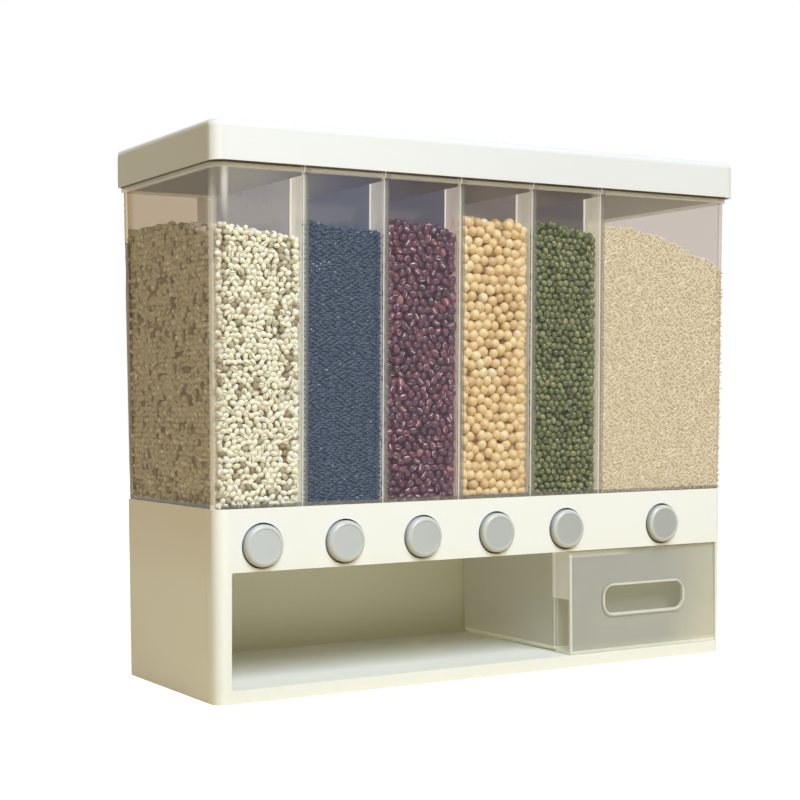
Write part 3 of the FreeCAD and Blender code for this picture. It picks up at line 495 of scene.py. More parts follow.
def clearPlastic(name):
    paint = Finish(name)
    places = clearPlaces
    x, y, z = (paint.along(axis) for axis in "XYZ")
    slope = binInside["frontLean"] / binInside["height"]
    # depth is measured from the front wall's inner face
    depth = y - ((z - binInside["foot"]) * slope + binInside["front"])
    half = binInside["ribThickness"] / 2
    top = binInside["foot"] + binInside["height"]
    onFront = depth < places["skin"]
    ribs = (depth > places["skin"]) * (depth < binInside["ribDepth"] + places["ribEdge"])
    ribs = ribs * (abs(x) < places["ribHalf"])
    ribEdge = (depth > binInside["ribDepth"] - places["ribEdge"]) * ribs
    beside = (x - (dividers[0] - dividerPitch / 2)).wrapped(0.0, dividerPitch) - dividerPitch / 2
    atRoots = onFront * (x < places["rootRight"]) * (x > places["rootLeft"])
    root = (abs(beside) < half) * atRoots
    # painted highlight along the left face of each rib's root
    outside, inside = places["rootHighlight"]
    rootHighlight = (beside < inside - half) * (beside > -outside - half) * atRoots
    rootLine = (beside > half) * (beside < half + places["rootLine"]) * atRoots
    # painted light on the rim's band below the lid; above it, a painted shadow in the gap under the lid
    rim = (z > top - places["rimStart"]) * (z < top + places["band"])
    lidGapShadow = z > top + places["band"]
    foot = z < binInside["foot"] + places["band"]
    # painted highlight lines along the rounded front-left corner, front and side
    frontBend = abs(x - places["frontBend"]).remap(*places["frontBendWidth"])
    frontBend = frontBend * onFront * z.remap(*places["frontBendHeight"])
    sideBend = abs(depth - places["sideBend"]).remap(*places["sideBendWidth"]) * (x < places["sideBendLeft"])
    sideBend = sideBend * (z.remap(*places["sideBendHeight"]) * 0.85 + 0.25)
    cornerHighlights = (frontBend + sideBend) * (z < top)
    bandLeft, bandRight = places["backBand"]
    backBand = (y > places["back"]) * (x > bandLeft) * (x < bandRight) * (z < top)
    atBackCorner = (y > places["backEdge"]) * (x < -places["endWall"])
    backEdge = atBackCorner * (z < places["grainTop"]) * (z > binInside["foot"])
    backLine = (y > places["backLine"]) * (x < places["backLineLeft"]) * (z < top)
    facing = paint.node("LayerWeight", {}, {"Blend": 0.25}, "Facing")
    haze = (facing * clearLook["edgeOn"] + clearLook["base"] + ribs * clearLook["rib"]
            + ribEdge * clearLook["ribEdge"] + root * clearLook["root"] + rootHighlight * clearLook["rootHighlight"]
            + (rootLine + lidGapShadow) * clearLook["line"] + rim * clearLook["rim"] + foot * clearLook["foot"]
            + cornerHighlights * clearLook["corner"] + (backBand + backEdge) * clearLook["backBand"]
            + backLine * clearLook["backLine"]).clamped()
    shade = paint.mixColour(paint.noise(14, 2), *clearLook["body"])
    shade = paint.mixColour(root, shade, clearLook["rootBody"])
    # dark lines beside the ribs' roots and at the foot, and the painted shadow in the gap under the lid
    shade = paint.mixColour((rootLine + lidGapShadow + foot).clamped(), shade, clearLook["lineBody"])
    shade = paint.mixColour(backBand, shade, clearLook["bandBody"])
    grainTone = paint.mixColour(paint.noise(420, 3, 0.7), *clearLook["grainBody"])
    shade = paint.mixColour((backEdge + backLine).clamped(), shade, grainTone)
    # painted shade on the lower part of the middle ribs
    lowRibShade = z.remap(*places["lowRibShade"]) * (abs(x) < places["lowRibHalf"])
    ribLight = paint.mixColour(lowRibShade, paint.shadeAlong(x, ribPaintedLight), clearLook["lowRibShade"], "MULTIPLY")
    bright = paint.mixColour(rim * 0.4, (0, 0, 0), clearLook["paintedLight"])
    # painted light on the ribs
    bright = paint.mixColour(ribs, bright, ribLight)
    # painted highlights on the ribs' edges, their roots and the rounded corners
    bright = paint.mixColour((ribEdge + rootHighlight * 0.6 + cornerHighlights).clamped(), bright, clearLook["edgePaintedLight"])
    # painted light on the band on the back wall
    bright = paint.mixColour(backBand, bright, clearLook["bandPaintedLight"])
    body = paint.node("BsdfPrincipled", {}, {
        "Base Color": shade, "Roughness": paint.noise(22, 2) * 0.08 + 0.10, "Specular IOR Level": 0.5,
        "Emission Color": bright, "Emission Strength": 1.0})
    front, side, rightSide, back, backCorner = (
        paint.node("BsdfTransparent", {}, {"Color": clearLook[wall]})
        for wall in ("front", "side", "rightSide", "back", "backCorner"))
    sides = paint.mixShader(x > 0, side, rightSide)
    through = paint.mixShader(abs(x) > places["endWall"], front, sides)
    through = paint.mixShader(y > places["back"], through, back)
    through = paint.mixShader(atBackCorner, through, backCorner)
    return paint.show(paint.mixShader(haze, through, body))


smokyPaintedLight = (            # painted light on the partitions, from left to right: they glow though they are no lamp
    (dividers[0], (0.24, 0.24, 0.235)),
    (dividers[1], (0.046, 0.067, 0.105)),
    (dividers[2], (0.047, 0.050, 0.074)),
    (dividers[3], (0.141, 0.115, 0.095)),
    (dividers[4], (0.068, 0.059, 0.057)),
)


def smokyPlastic(name):
    paint = Finish(name)
    facing = paint.node("LayerWeight", {}, {"Blend": 0.3}, "Facing")
    # painted light on the partitions
    paintedLight = paint.shadeAlong(paint.along("X"), smokyPaintedLight)
    body = paint.node("BsdfPrincipled", {}, {
        "Base Color": paint.mixColour(paint.noise(12, 3), (0.47, 0.47, 0.62), (0.40, 0.39, 0.50)),
        "Roughness": paint.noise(40) * 0.1 + 0.24, "Specular IOR Level": 0.9,
        "Emission Color": paintedLight, "Emission Strength": 1.0})
    through = paint.node("BsdfTransparent", {}, {"Color": (0.66, 0.65, 0.70)})
    return paint.show(paint.mixShader((facing * 0.2 + 0.55).clamped(), through, body))


frostedLook = {          # how milky the drawer is, place by place, and its colours
    "walls": 0.42,
    "panel": 0.52,
    "rim": 0.22,
    "slotRim": 0.22,
    "topBand": 0.15,
    "flap": 0.34,
    "seam": 0.40,
    "milk": ((0.53, 0.53, 0.52), (0.48, 0.48, 0.465)),
    # painted light: the panel's right part is tinted warm and lit, most towards its foot
    "warmLitMilk": (0.76, 0.72, 0.58),
    # painted light: the drawer glows though it is no lamp
    "paintedLight": (0.115, 0.110, 0.068),
    "panelPaintedLight": (0.006, 0.006, 0.006),
    "warmPaintedLight": (0.15, 0.135, 0.085),
    # painted light on the side flaps and the box's front edge
    "flapPaintedLight": (0.20, 0.19, 0.15),
    "rimColour": (0.80, 0.79, 0.71),
}
frostedPlaces = {        # measured inwards from the drawer's own box, apart from the heights
    "edge": 0.0022,
    "headEdge": 0.0012,
    "topBand": 0.0042,
    "topBandEnd": (0.062, 0.045),
    "flank": 0.0026,
    "flap": 0.0225,
    "flapFoot": 0.0494,        # height
    "boxFront": 0.0200,
    "boxEdge": 0.0009,
    "seam": 0.0040,
    "warmLit": 0.060,
    "warmHeight": (0.070, 0.018),
}
fingerSlot = {"width": 0.075, "height": 0.0205, "corner": 0.009, "rim": 0.0016, "rise": 0.0005}


def frostedPlastic(name):
    paint = Finish(name)
    places = frostedPlaces
    x, y, z = (paint.along(axis) for axis in "XYZ")
    low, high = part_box("catch_drawer")
    middle = (low + high) / 2
    edge = places["edge"]
    panel = y < low.y + edge
    fromSlot = paint.beyond(abs(x - middle.x), abs(z - (middle.z + fingerSlot["rise"])), fingerSlot)
    slotRim = (fromSlot < fingerSlot["rim"]) * panel
    head = (z > high.z - places["headEdge"]) * 0.5
    rim = (panel * ((x < low.x + edge) + (z < low.z + edge) + head)).clamped()
    bandStart, bandFull = places["topBandEnd"]
    topBand = panel * (z > high.z - places["topBand"]) * x.remap(low.x + bandStart, low.x + bandFull)
    beside = (abs(x - middle.x) > (high.x - low.x) / 2 - places["flank"]) * (1 - panel)
    flap = beside * (y < low.y + places["flap"]) * (z > places["flapFoot"])
    boxEdge = beside * (abs(y - (low.y + places["boxFront"])) < places["boxEdge"])
    seams = ((z < low.z + places["seam"]) * (y > low.y + edge)).clamped()
    facing = paint.node("LayerWeight", {}, {"Blend": 0.35}, "Facing")
    haze = (panel * (frostedLook["panel"] - frostedLook["walls"]) + frostedLook["walls"] + facing * 0.15
            + rim * frostedLook["rim"] + (seams + boxEdge * 0.6) * frostedLook["seam"]
            + flap * frostedLook["flap"] + slotRim * frostedLook["slotRim"]
            + topBand * frostedLook["topBand"] + paint.noise(30, 2) * 0.04).clamped()
    # painted light on the panel's right part, most towards its foot
    warmLit = x.remap(high.x - places["warmLit"], high.x) * panel
    milk = paint.mixColour(paint.noise(16, 3), *frostedLook["milk"])
    milk = paint.mixColour(warmLit * 0.6, milk, frostedLook["warmLitMilk"])
    # painted light: little on the panel, more on the walls, flaps and the box's front edge
    paintedLight = paint.mixColour(panel, frostedLook["paintedLight"], frostedLook["panelPaintedLight"])
    paintedLight = paint.mixColour(warmLit * z.remap(*places["warmHeight"]), paintedLight, frostedLook["warmPaintedLight"])
    paintedLight = paint.mixColour((flap + boxEdge).clamped(), paintedLight, frostedLook["flapPaintedLight"])
    pale = (rim + slotRim + seams * 0.7 + topBand * 0.5 + boxEdge * 0.5).clamped()
    body = paint.node("BsdfPrincipled", {}, {
        "Base Color": paint.mixColour(pale, milk, frostedLook["rimColour"]),
        "Roughness": paint.noise(60, 3) * 0.15 + 0.45,
        "Normal": paint.bump(paint.noise(1500, 2), 0.05, 0.0003),
        "Emission Color": paintedLight, "Emission Strength": 1.0})
    through = paint.node("BsdfTransparent", {}, {"Color": (0.90, 0.895, 0.87)})
    return paint.show(paint.mixShader(haze, through, body))


channels = range(1, 7)
dress(["base_housing", "hopper_tray", "mechanism_deck"] + [f"gate_slide_{n}" for n in channels],
      baseWhite("baseWhite"))
dress(["lid_shell"], lidWhite("lidWhite"))
dress(["bin_body"], clearPlastic("clearPlastic"))
dress([f"partition_{n}" for n in range(1, 6)], smokyPlastic("smokyPlastic"))
dress(["catch_drawer"], frostedPlastic("frostedPlastic"))
dress(["lid_seal"], softRubber("sealRubber"))
dress(["wall_bracket", "deck_screws"] + [f"return_spring_{n}" for n in channels], steel("zincSteel"))
print("nodes dressed")


# push buttons: a shallow cup with a soft shoulder and a barely dished face

button = {
    "sides": 72,
    "shoulder": 0.0027,
    "shoulderSteps": 5,
    "slack": 0.0004,          # keeps the cap clear of the hole
    "dishInset": 0.0003,
    "dish": 0.00035,
    "wall": 0.0018,
    "smoothAngle": 35,
    "disc": ((0.555, 0.585, 0.615), (0.375, 0.385, 0.385)),      # at the object's left and right; the darker right is painted shade
    "discShadeFade": (-0.24, 0.22),
    # painted highlight on the sloping shoulder
    "shoulderHighlight": (0.575, 0.58, 0.56),
}


def greyPlastic(name):
    paint = Finish(name)
    # painted shade: the caps darken towards the object's right, with a random tone over it
    fall = paint.along("X").remap(*button["discShadeFade"]) + paint.noise(40, 3) * 0.15
    disc = paint.mixColour(fall.clamped(), *button["disc"])
    facing = paint.along("Y", paint.node("TexCoord", {}, {}, "Normal"))
    # painted highlight: the sloping shoulder is lighter than the face
    shoulder = (facing + 1).remap(0.004, 0.04) * facing.remap(-0.30, -0.55)
    shader = paint.node("BsdfPrincipled", {}, {
        "Base Color": paint.mixColour(shoulder, disc, button["shoulderHighlight"]),
        "Roughness": paint.noise(80) * 0.1 + 0.28, "Specular IOR Level": 0.6,
        "Normal": paint.bump(paint.noise(1600, 2), 0.08, 0.0003)})
    return paint.show(shader)


def deselectMesh():
    bpy.ops.mesh.select_all(action="DESELECT")


def pick(piece, kind, test):
    bpy.ops.object.mode_set(mode="OBJECT")
    for item in getattr(piece.data, kind):
        item.select = test(item)
    bpy.ops.object.mode_set(mode="EDIT")


def makeButton(number, material):
    low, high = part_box(f"button_cap_{number}")
    middle = (low + high) / 2
    radius = (high.x - low.x) / 2 - button["slack"]
    bpy.ops.object.select_all(action="DESELECT")
    bpy.ops.mesh.primitive_cylinder_add(vertices=button["sides"], radius=radius, depth=high.y - low.y,
                                        location=middle, rotation=(math.pi / 2, 0, 0))
    cap = bpy.context.object
    cap.name = f"push_button_{number}"
    bpy.ops.object.transform_apply()
    bpy.ops.object.mode_set(mode="EDIT")
    bpy.ops.mesh.select_mode(type="FACE")
    deselectMesh()
    pick(cap, "polygons", lambda face: face.normal.y > 0.9)
    bpy.ops.mesh.inset(thickness=button["wall"])
    bpy.ops.mesh.extrude_region_move(
        TRANSFORM_OT_translate={"value": (0, -(high.y - low.y) + button["wall"], 0)})
    bpy.ops.mesh.select_mode(type="EDGE")
    deselectMesh()
    pick(cap, "edges", lambda edge: all(
        abs(cap.data.vertices[end].co.y - low.y) < 1e-5 for end in edge.vertices))
    bpy.ops.mesh.bevel(offset=button["shoulder"], segments=button["shoulderSteps"], profile=0.5)
    bpy.ops.mesh.select_mode(type="FACE")
    deselectMesh()
    pick(cap, "polygons", lambda face: face.normal.y < -0.999 and len(face.vertices) > 8)
    bpy.ops.mesh.inset(thickness=button["dishInset"])
    bpy.ops.transform.translate(value=(0, button["dish"], 0))
    bpy.ops.object.mode_set(mode="OBJECT")
    bpy.ops.object.shade_smooth_by_angle(angle=math.radians(button["smoothAngle"]))
    cap.data.materials.append(material)
    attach(cap, f"dispenser_{number}")
    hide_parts(f"button_cap_{number}")


buttonGrey = greyPlastic("buttonGrey")
for channel in channels:
    makeButton(channel, buttonGrey)
print("buttons made")


# return springs: each is a copy of the frame's spring with its doubled points merged, carried by its
# dispenser

def makeSpring(number):
    node = frame["nodes"][f"return_spring_{number}"]
    joint = next(one for one in frame["joints"] if one["name"] == f"button_{number}")
    low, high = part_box(node.name)
    bpy.ops.object.select_all(action="DESELECT")
    spring = bpy.data.objects.new(f"spring_{number}", node.data.copy())
    bpy.context.collection.objects.link(spring)
    bpy.context.view_layer.objects.active = spring
    bpy.ops.object.mode_set(mode="EDIT")
    bpy.ops.mesh.select_all(action="SELECT")
    bpy.ops.mesh.remove_doubles(threshold=1e-6)
    bpy.ops.object.mode_set(mode="OBJECT")
    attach(spring, f"dispenser_{number}")
    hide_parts(node.name)
    1 - joint["range_m"][1] / (high.y - low.y)
    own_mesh(spring)


for channel in channels:
    makeSpring(channel)
print("springs made")


# grain: one kernel for each kind, set in rows against the walls and over the top

usualGrain = {           # what most kinds share
    "turn": 90,                # degrees either way in the wall's plane
    "rise": 0.006,             # how much higher the heap is at the back
    "outer": "",               # the side on which the kind meets an end wall
    "layers": 2,
    "fleckAndGlintLong": 1.0,
    "seamWide": 0,
    "bothSides": 1,            # kernels with a higher tone show their seam on both sides
}
# each kind's depth is the colour of the core behind the kernels: painted shade in the gaps between them, pale
# for the white rice
grains = [
    {"name": "barley", "left": -binInside["side"], "right": dividers[0], "outer": "left",
     "long": 0.0058, "wide": 0.0046, "thick": 0.0040, "segments": 8, "rings": 4,
     "rows": 0.0037, "columns": 0.0044, "tilt": 35, "scatter": 0.40,
     "top": ((-0.212, 0.3096), (-0.152, 0.3027)), "rise": 0.010,
     "colours": ((0.24, 0.165, 0.08), (0.98, 0.95, 0.80), (0.99, 0.98, 0.91)),
     "fleckAndGlint": (0.95, 0.94, 0.88), "flecksAndGlints": 0.88,
     "seam": (0.26, 0.17, 0.09), "seamWide": 0.14, "seamLong": 0.8,
     "paintedLight": (0.034, 0.029, 0.018), "depth": (0.10, 0.065, 0.03), "roughness": 0.55},
    {"name": "black_rice", "left": dividers[0], "right": dividers[1],
     "long": 0.0056, "wide": 0.0018, "thick": 0.0017, "segments": 6, "rings": 4,
     "rows": 0.0016, "columns": 0.0049, "turn": 24, "tilt": 10, "scatter": 0.25,
     "top": ((-0.150, 0.3158), (-0.089, 0.3096)),
     "colours": ((0.012, 0.022, 0.045), (0.022, 0.037, 0.070), (0.036, 0.054, 0.092)),
     # the black rice's flecks are painted glints: a small light spot on a few kernels
     "fleckAndGlint": (0.42, 0.50, 0.60), "flecksAndGlints": 0.965, "fleckAndGlintLong": 0.10,
     "paintedLight": (0.020, 0.034, 0.060), "depth": (0.020, 0.030, 0.048), "roughness": 0.40},
    {"name": "adzuki", "left": dividers[1], "right": dividers[2],
     "long": 0.0079, "wide": 0.0058, "thick": 0.0056, "segments": 8, "rings": 6,
     "rows": 0.0050, "columns": 0.0065, "tilt": 30, "scatter": 0.42,
     "top": ((-0.089, 0.3180), (-0.028, 0.3136)),
     "colours": ((0.040, 0.009, 0.024), (0.095, 0.021, 0.050), (0.17, 0.045, 0.072)),
     "fleckAndGlint": (0.36, 0.12, 0.14), "flecksAndGlints": 0.985,
     "seam": (0.86, 0.68, 0.73), "seamWide": 0.11, "seamLong": 0.40, "bothSides": 0.55,
     "paintedLight": (0.028, 0.018, 0.029), "depth": (0.020, 0.005, 0.012), "roughness": 0.22},
    {"name": "soybean", "left": dividers[2], "right": dividers[3],
     "long": 0.0081, "wide": 0.0077, "thick": 0.0075, "segments": 10, "rings": 7,
     "rows": 0.0066, "columns": 0.0076, "tilt": 60, "scatter": 0.42,
     "top": ((-0.028, 0.3240), (0.034, 0.3180)),
     "colours": ((0.64, 0.44, 0.23), (0.83, 0.63, 0.35), (0.89, 0.72, 0.45)),
     "fleckAndGlint": (0.90, 0.78, 0.53), "flecksAndGlints": 0.96,
     "seam": (0.55, 0.38, 0.18), "seamWide": 0.06, "seamLong": 0.25,
     "paintedLight": (0.045, 0.030, 0.018), "depth": (0.11, 0.055, 0.03), "roughness": 0.46},
    {"name": "mung", "left": dividers[3], "right": dividers[4],
     "long": 0.0060, "wide": 0.0051, "thick": 0.0049, "segments": 8, "rings": 6,
     "rows": 0.0046, "columns": 0.0054, "tilt": 40, "scatter": 0.40,
     "top": ((0.034, 0.3230), (0.095, 0.3174)),
     "colours": ((0.040, 0.050, 0.014), (0.125, 0.150, 0.048), (0.240, 0.270, 0.115)),
     "fleckAndGlint": (0.28, 0.27, 0.12), "flecksAndGlints": 0.94,
     "seam": (0.66, 0.68, 0.52), "seamWide": 0.10, "seamLong": 0.22, "bothSides": 0,
     "paintedLight": (0.012, 0.012, 0.005), "depth": (0.010, 0.012, 0.005), "roughness": 0.20},
    {"name": "white_rice", "left": dividers[4], "right": binInside["side"], "outer": "right",
     "long": 0.0052, "wide": 0.0018, "thick": 0.0017, "segments": 5, "rings": 4,
     "rows": 0.0016, "columns": 0.0044, "turn": 70, "tilt": 12, "scatter": 0.30, "layers": 1,
     "top": ((0.097, 0.3240), (0.130, 0.3235), (0.152, 0.3180), (0.199, 0.3025), (0.210, 0.2970)),
     "rise": 0.0,
     "colours": ((0.48, 0.42, 0.32), (0.52, 0.46, 0.35), (0.57, 0.51, 0.40)),
     "fleckAndGlint": (0.66, 0.62, 0.50), "flecksAndGlints": 0.93,
     "paintedLight": (0.27, 0.225, 0.150), "depth": (0.60, 0.52, 0.38), "roughness": 0.50},
]
toneStops = (0.06, 0.20, 0.70, 0.89)   # dark below the first, usual between the next two, pale above the last
heap = {
    "wallGap": 0.0003,
    "ribGap": 0.0019,          # from a divider's middle to the grain beside it
    "cutCorner": 0.0018,       # the heap's front right corner is cut off along the rib's root
    "sideStretch": 0.021,      # how far back the grain shows through the clear rib
    "backReach": 0.0016,       # how far the left side's rows run on past the back's
    "highest": 0.335,          # no row of kernels lies above this
    "pressed": 0.36,           # the outer kernels' middles are this share of their thickness behind the wall
    "second": 1.05,            # the same for the layer behind them
    "secondToneInShade": 0.06,        # how much of its tone that layer keeps: it is painted darker, as shade
    "sunk": 0.18,              # share of its thickness by which a kernel may sit further back
    "sizes": (0.90, 1.08),
    "topScatter": 0.4,         # share of its thickness by which a kernel on top lies higher or lower
    "coreInset": 1.15,         # the core starts this many kernels behind the walls
    "coreFoot": 0.0006,
    "coreSunk": 0.7,           # and this many below the top
    "coreCuts": 11,
    "settling": 5,             # rounds in which crowded kernels push each other apart
    "settlesFrom": 0.35,       # scatter from which they do
    "roll": 0.0012,            # unevenness of the heap's top
    "rollTurns": (190, 160, 70, 1.3),      # radians per metre along X, along Y and as a skew, then the start
    "mostTriangles": 150000,   # in one piece; a heap with more is poured in several
}


def coreFinish(kind):
    paint = Finish(kind["name"] + "Deep")
    # painted shade: the core is a sheet of shade behind the kernels, darker along its cells' edges
    cells = paint.node("TexVoronoi", {"feature": "F1"}, {
        "Vector": paint.place(), "Scale": 1 / kind["wide"], "Randomness": 1.0}, "Distance")
    # the core's glow is painted light
    shader = paint.node("BsdfPrincipled", {}, {
        "Base Color": paint.mixColour(cells, kind["depth"], tuple(part * 0.6 for part in kind["depth"])),
        "Roughness": cells * 0.1 + 0.8, "Normal": paint.bump(1 - cells, 0.6, kind["wide"] * 0.5),
        "Emission Color": kind["paintedLight"], "Emission Strength": 1.0})
    return paint.show(shader)


def grainFinish(kind):
    paint = Finish(kind["name"])
    tone = paint.node("Attribute", {"attribute_name": "tone"}, {}, "Fac")
    local = paint.node("Attribute", {"attribute_name": "local"}, {}, "Vector")
    x, y, z = (paint.along(axis, local) for axis in "XYZ")
    dark, usual, pale = kind["colours"]
    stops = tuple(zip(toneStops, (dark, usual, usual, pale)))
    colour = paint.node("ValToRGB", {"stops": stops}, {"Fac": tone}, "Color")
    # pale flecks of the kernel's own colour, and on the black rice painted glints
    fleckAndGlint = (tone > kind["flecksAndGlints"]) * (abs(x) < kind["fleckAndGlintLong"] + 0.01)
    colour = paint.mixColour(fleckAndGlint, colour, kind["fleckAndGlint"])
    if kind["seamWide"]:
        seam = (abs(y) < kind["seamWide"]) * (abs(x) < kind["seamLong"])
        shown = ((z > 0.0) + (tone > kind["bothSides"])).clamped()
        colour = paint.mixColour(seam * shown, colour, kind["seam"])
    mottle = paint.noise(0.35 / kind["wide"], 3)
    colour = paint.mixColour(mottle * 0.35, colour, tuple(part * 0.72 for part in usual))
    # the grain's glow is painted light, standing in for light scattered through the kernels
    shader = paint.node("BsdfPrincipled", {}, {
        "Base Color": colour, "Roughness": mottle * 0.15 + (kind["roughness"] - 0.07),
        "Normal": paint.bump(paint.noise(1.2 / kind["wide"], 2), 0.15, kind["wide"] * 0.08),
        "Emission Color": kind["paintedLight"], "Emission Strength": 1.0})
    return paint.show(shader)


def makeKernel(kind):
    bpy.ops.object.select_all(action="DESELECT")
    bpy.ops.mesh.primitive_uv_sphere_add(segments=kind["segments"], ring_count=kind["rings"], radius=0.5,
                                         rotation=(0, math.pi / 2, 0))
    kernel = bpy.context.object
    bpy.ops.object.transform_apply()
    bpy.ops.object.mode_set(mode="EDIT")
    size = (kind["long"], kind["wide"], kind["thick"])
    bpy.ops.transform.resize(value=size, center_override=(0, 0, 0))
    bpy.ops.mesh.quads_convert_to_tris()
    bpy.ops.object.mode_set(mode="OBJECT")
    points = np.array([vertex.co for vertex in kernel.data.vertices])
    faces = np.array([face.vertices for face in kernel.data.polygons])
    bpy.data.objects.remove(kernel)
    return points, faces


def leaned(kind, x, y, z):
    rise = (z - binInside["foot"]) / binInside["height"]
    share = (y - binInside["front"]) / (binInside["back"] - binInside["front"])
    y = y + rise * (binInside["frontLean"] * (1 - share) + binInside["backLean"] * share)
    if kind["outer"]:
        reach = (x - kind["left"]) / (kind["right"] - kind["left"])
        outwards = reach if kind["outer"] == "right" else reach - 1
        x = x + rise * binInside["sideLean"] * outwards
    return x, y, z


def topLevel(kind, x, y):
    places, levels = zip(*kind["top"])
    back = (y - binInside["front"]) / (binInside["back"] - binInside["front"])
    across, along, skew, start = heap["rollTurns"]
    wave = math.sin(x * across + start) * math.sin(y * along + x * skew) * heap["roll"]
    return float(np.interp(x, places, levels)) + kind["rise"] * math.sin(back * math.pi / 2) + wave


def outline(kind, inset):
    left = kind["left"] + (heap["wallGap"] if kind["outer"] == "left" else heap["ribGap"]) + inset
    right = kind["right"] - (heap["wallGap"] if kind["outer"] == "right" else heap["ribGap"]) - inset
    front = binInside["front"] + heap["wallGap"] + inset
    back = binInside["back"] - heap["wallGap"] - inset
    return left, right, front, back


def wallStretches(kind, inset):
    left, right, front, back = outline(kind, inset)
    cut = 0 if kind["outer"] == "right" else heap["cutCorner"]
    leftBack = back + heap["backReach"] if kind["outer"] == "left" else front + heap["sideStretch"]
    rightBack = back if kind["outer"] == "right" else front + heap["sideStretch"]
    stretches = [((left, leftBack), (left, front)), ((left, front), (right - cut, front)),
                 ((right, front + cut), (right, rightBack)), ((right, back), (left, back))]
    if cut:
        stretches.insert(2, ((right - cut, front), (right, front + cut)))
    return stretches


def kernelSpot(kind, place, normal, chance, toneKeptInShade=1.0):
    up = Vector((0, 0, 1)) if abs(normal.z) < 0.5 else Vector((0, 1, 0))
    side = up.cross(normal).normalized()
    turn = math.radians(chance.uniform(-kind["turn"], kind["turn"]))
    tilt = math.radians(chance.gauss(0, kind["tilt"] / 2))
    aim = Matrix((side, up, normal)).transposed()
    aim = aim @ Matrix.Rotation(turn, 3, "Z") @ Matrix.Rotation(tilt, 3, "Y")
    size = chance.uniform(*heap["sizes"])
    aim = aim @ Matrix.Rotation(chance.uniform(0, 2 * math.pi), 3, "X") * size
    return place, aim, chance.random() * toneKeptInShade


def settled(spots, spacing, width):
    for _ in range(heap["settling"]):
        tree = KDTree(len(spots))
        for index, (along, level) in enumerate(spots):
            tree.insert((along, level, 0), index)
        tree.balance()
        moved = []
        for along, level in spots:
            push = Vector((0, 0, 0))
            for near, index, distance in tree.find_range((along, level, 0), spacing):
                if distance > 0:
                    push += (Vector((along, level, 0)) - near) * (spacing / distance - 1) * 0.5
            moved.append((min(max(along + push.x, 0), width), level + push.y))
        spots = moved
    return spots


def wallSpots(kind, chance, inset, toneKeptInShade=1.0):
    kernels = []
    for start, end in wallStretches(kind, inset):
        start = Vector((*start, 0))
        run = Vector((*end, 0)) - start
        width = run.length
        run.normalize()
        normal = Vector((run.y, -run.x, 0))
        count = max(1, round(width / kind["columns"]))
        rows = int((heap["highest"] - binInside["foot"]) / kind["rows"])
        spots = []
        for row in range(rows):
            for index in range(count + 1 - row % 2):
                along = (index + row % 2 / 2) * width / count
                along += chance.uniform(-1, 1) * kind["columns"] * kind["scatter"]
                level = (row + chance.uniform(-1, 1) * kind["scatter"]) * kind["rows"]
                spots.append((along, level))
        if kind["scatter"] > heap["settlesFrom"]:
            spots = settled(spots, (kind["rows"] + kind["columns"]) / 2, width)
        for along, level in spots:
            place = start + run * along
            z = max(level, 0) + binInside["foot"] + kind["thick"] / 2
            if z < topLevel(kind, place.x, place.y):
                place -= normal * chance.uniform(0, heap["sunk"]) * kind["thick"]
                spot = Vector(leaned(kind, place.x, place.y, z))
                kernels.append(kernelSpot(kind, spot, normal, chance, toneKeptInShade))
    return kernels


def topSpots(kind, chance):
    left, right, front, back = outline(kind, kind["thick"] / 2)
    columns = round((right - left) / kind["columns"])
    rows = round((back - front) / kind["rows"])
    spots = []
    for row in range(rows + 1):
        for column in range(columns + 1):
            x = left + (right - left) * (column + (0.5 if row % 2 else 0)) / columns
            y = front + (back - front) * row / rows
            x += chance.uniform(-1, 1) * kind["columns"] * kind["scatter"]
            y += chance.uniform(-1, 1) * kind["rows"] * kind["scatter"]
            if x > right or x < left or x - (right - heap["cutCorner"]) > y - front:
                continue
            z = topLevel(kind, x, y) + chance.uniform(-heap["topScatter"], heap["topScatter"]) * kind["thick"]
            spots.append(kernelSpot(kind, Vector(leaned(kind, x, y, z)), Vector((0, 0, 1)), chance))
    return spots


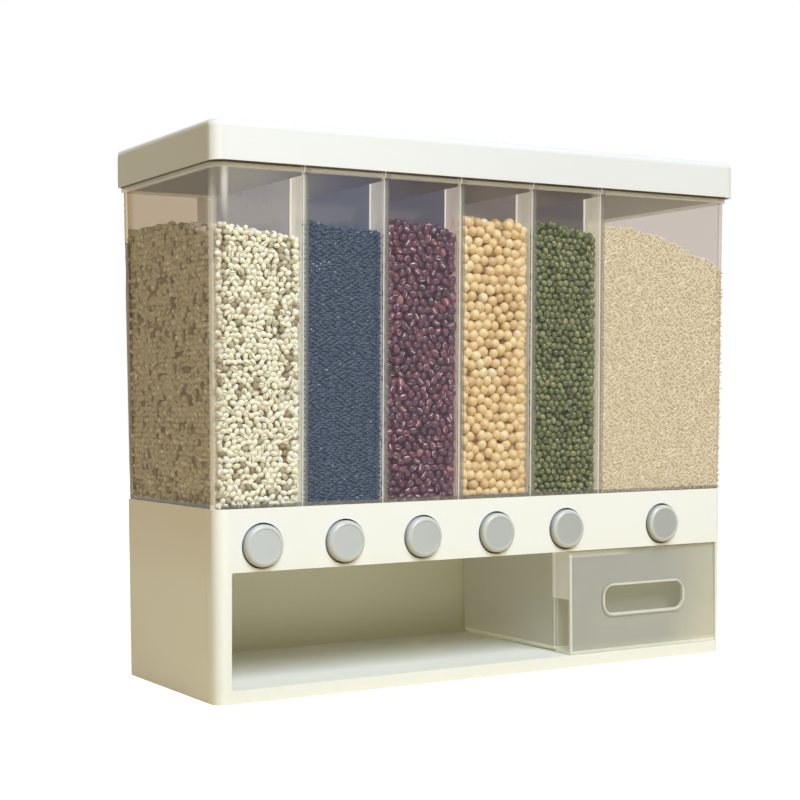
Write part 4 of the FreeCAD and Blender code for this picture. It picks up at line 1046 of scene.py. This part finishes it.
def pour(name, kernel, spots, material):
    points, faces = kernel
    turns = np.array([aim for place, aim, tone in spots])
    places = np.array([place for place, aim, tone in spots])
    cornerHighlights = np.einsum("nij,vj->nvi", turns, points) + places[:, None, :]
    joined = faces[None, :, :] + (np.arange(len(spots)) * len(points))[:, None, None]
    mesh = bpy.data.meshes.new(name)
    mesh.from_pydata(cornerHighlights.reshape(-1, 3).tolist(), [], joined.reshape(-1, 3).tolist())
    tones = np.repeat([tone for place, aim, tone in spots], len(points)).astype(np.float32)
    mesh.attributes.new("tone", "FLOAT", "POINT").data.foreach_set("value", tones)
    local = np.tile(points / np.abs(points).max(axis=0), (len(spots), 1)).astype(np.float32)
    mesh.attributes.new("local", "FLOAT_VECTOR", "POINT").data.foreach_set("vector", local.ravel())
    mesh.shade_smooth()
    piece = bpy.data.objects.new(name, mesh)
    bpy.context.collection.objects.link(piece)
    piece.data.materials.append(material)
    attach(piece, "housing")


def pourInParts(name, kernel, spots, material):
    parts = math.ceil(len(spots) * len(kernel[1]) / heap["mostTriangles"])
    share = math.ceil(len(spots) / parts)
    for part in range(parts):
        pour(f"{name}_{part + 1}", kernel, spots[part * share:(part + 1) * share], material)


def makeCore(kind, material):
    inset = kind["thick"] * heap["coreInset"]
    left, right, front, back = outline(kind, inset)
    foot = binInside["foot"] + heap["coreFoot"]
    bpy.ops.object.select_all(action="DESELECT")
    bpy.ops.mesh.primitive_cube_add(size=1)
    core = bpy.context.object
    core.name = kind["name"] + "_core"
    bpy.ops.object.mode_set(mode="EDIT")
    bpy.ops.mesh.subdivide(number_cuts=heap["coreCuts"])
    bpy.ops.object.mode_set(mode="OBJECT")
    for vertex in core.data.vertices:
        x = left + (right - left) * (vertex.co.x + 0.5)
        y = front + (back - front) * (vertex.co.y + 0.5)
        cut = x - (right - heap["cutCorner"]) - (y - front)
        if cut > 0 and kind["outer"] != "right":
            x -= cut / 2
            y += cut / 2
        head = topLevel(kind, x, y) - kind["thick"] * heap["coreSunk"]
        vertex.co = leaned(kind, x, y, foot + (head - foot) * (vertex.co.z + 0.5))
    core.data.materials.append(material)
    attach(core, "housing")


for own in grains:
    kind = usualGrain | own
    chance = random.Random(kind["name"])
    kernel = makeKernel(kind)
    skin = grainFinish(kind)
    spots = wallSpots(kind, chance, kind["thick"] * heap["pressed"])
    # the second layer lies deeper and is painted darker, as shade
    if kind["layers"] == 2:
        spots += wallSpots(kind, chance, kind["thick"] * heap["second"], heap["secondToneInShade"])
    pourInParts(kind["name"], kernel, spots, skin)
    pour(kind["name"] + "_top", kernel, topSpots(kind, chance), skin)
    makeCore(kind, coreFinish(kind))
    print(kind["name"], len(spots), "kernels")
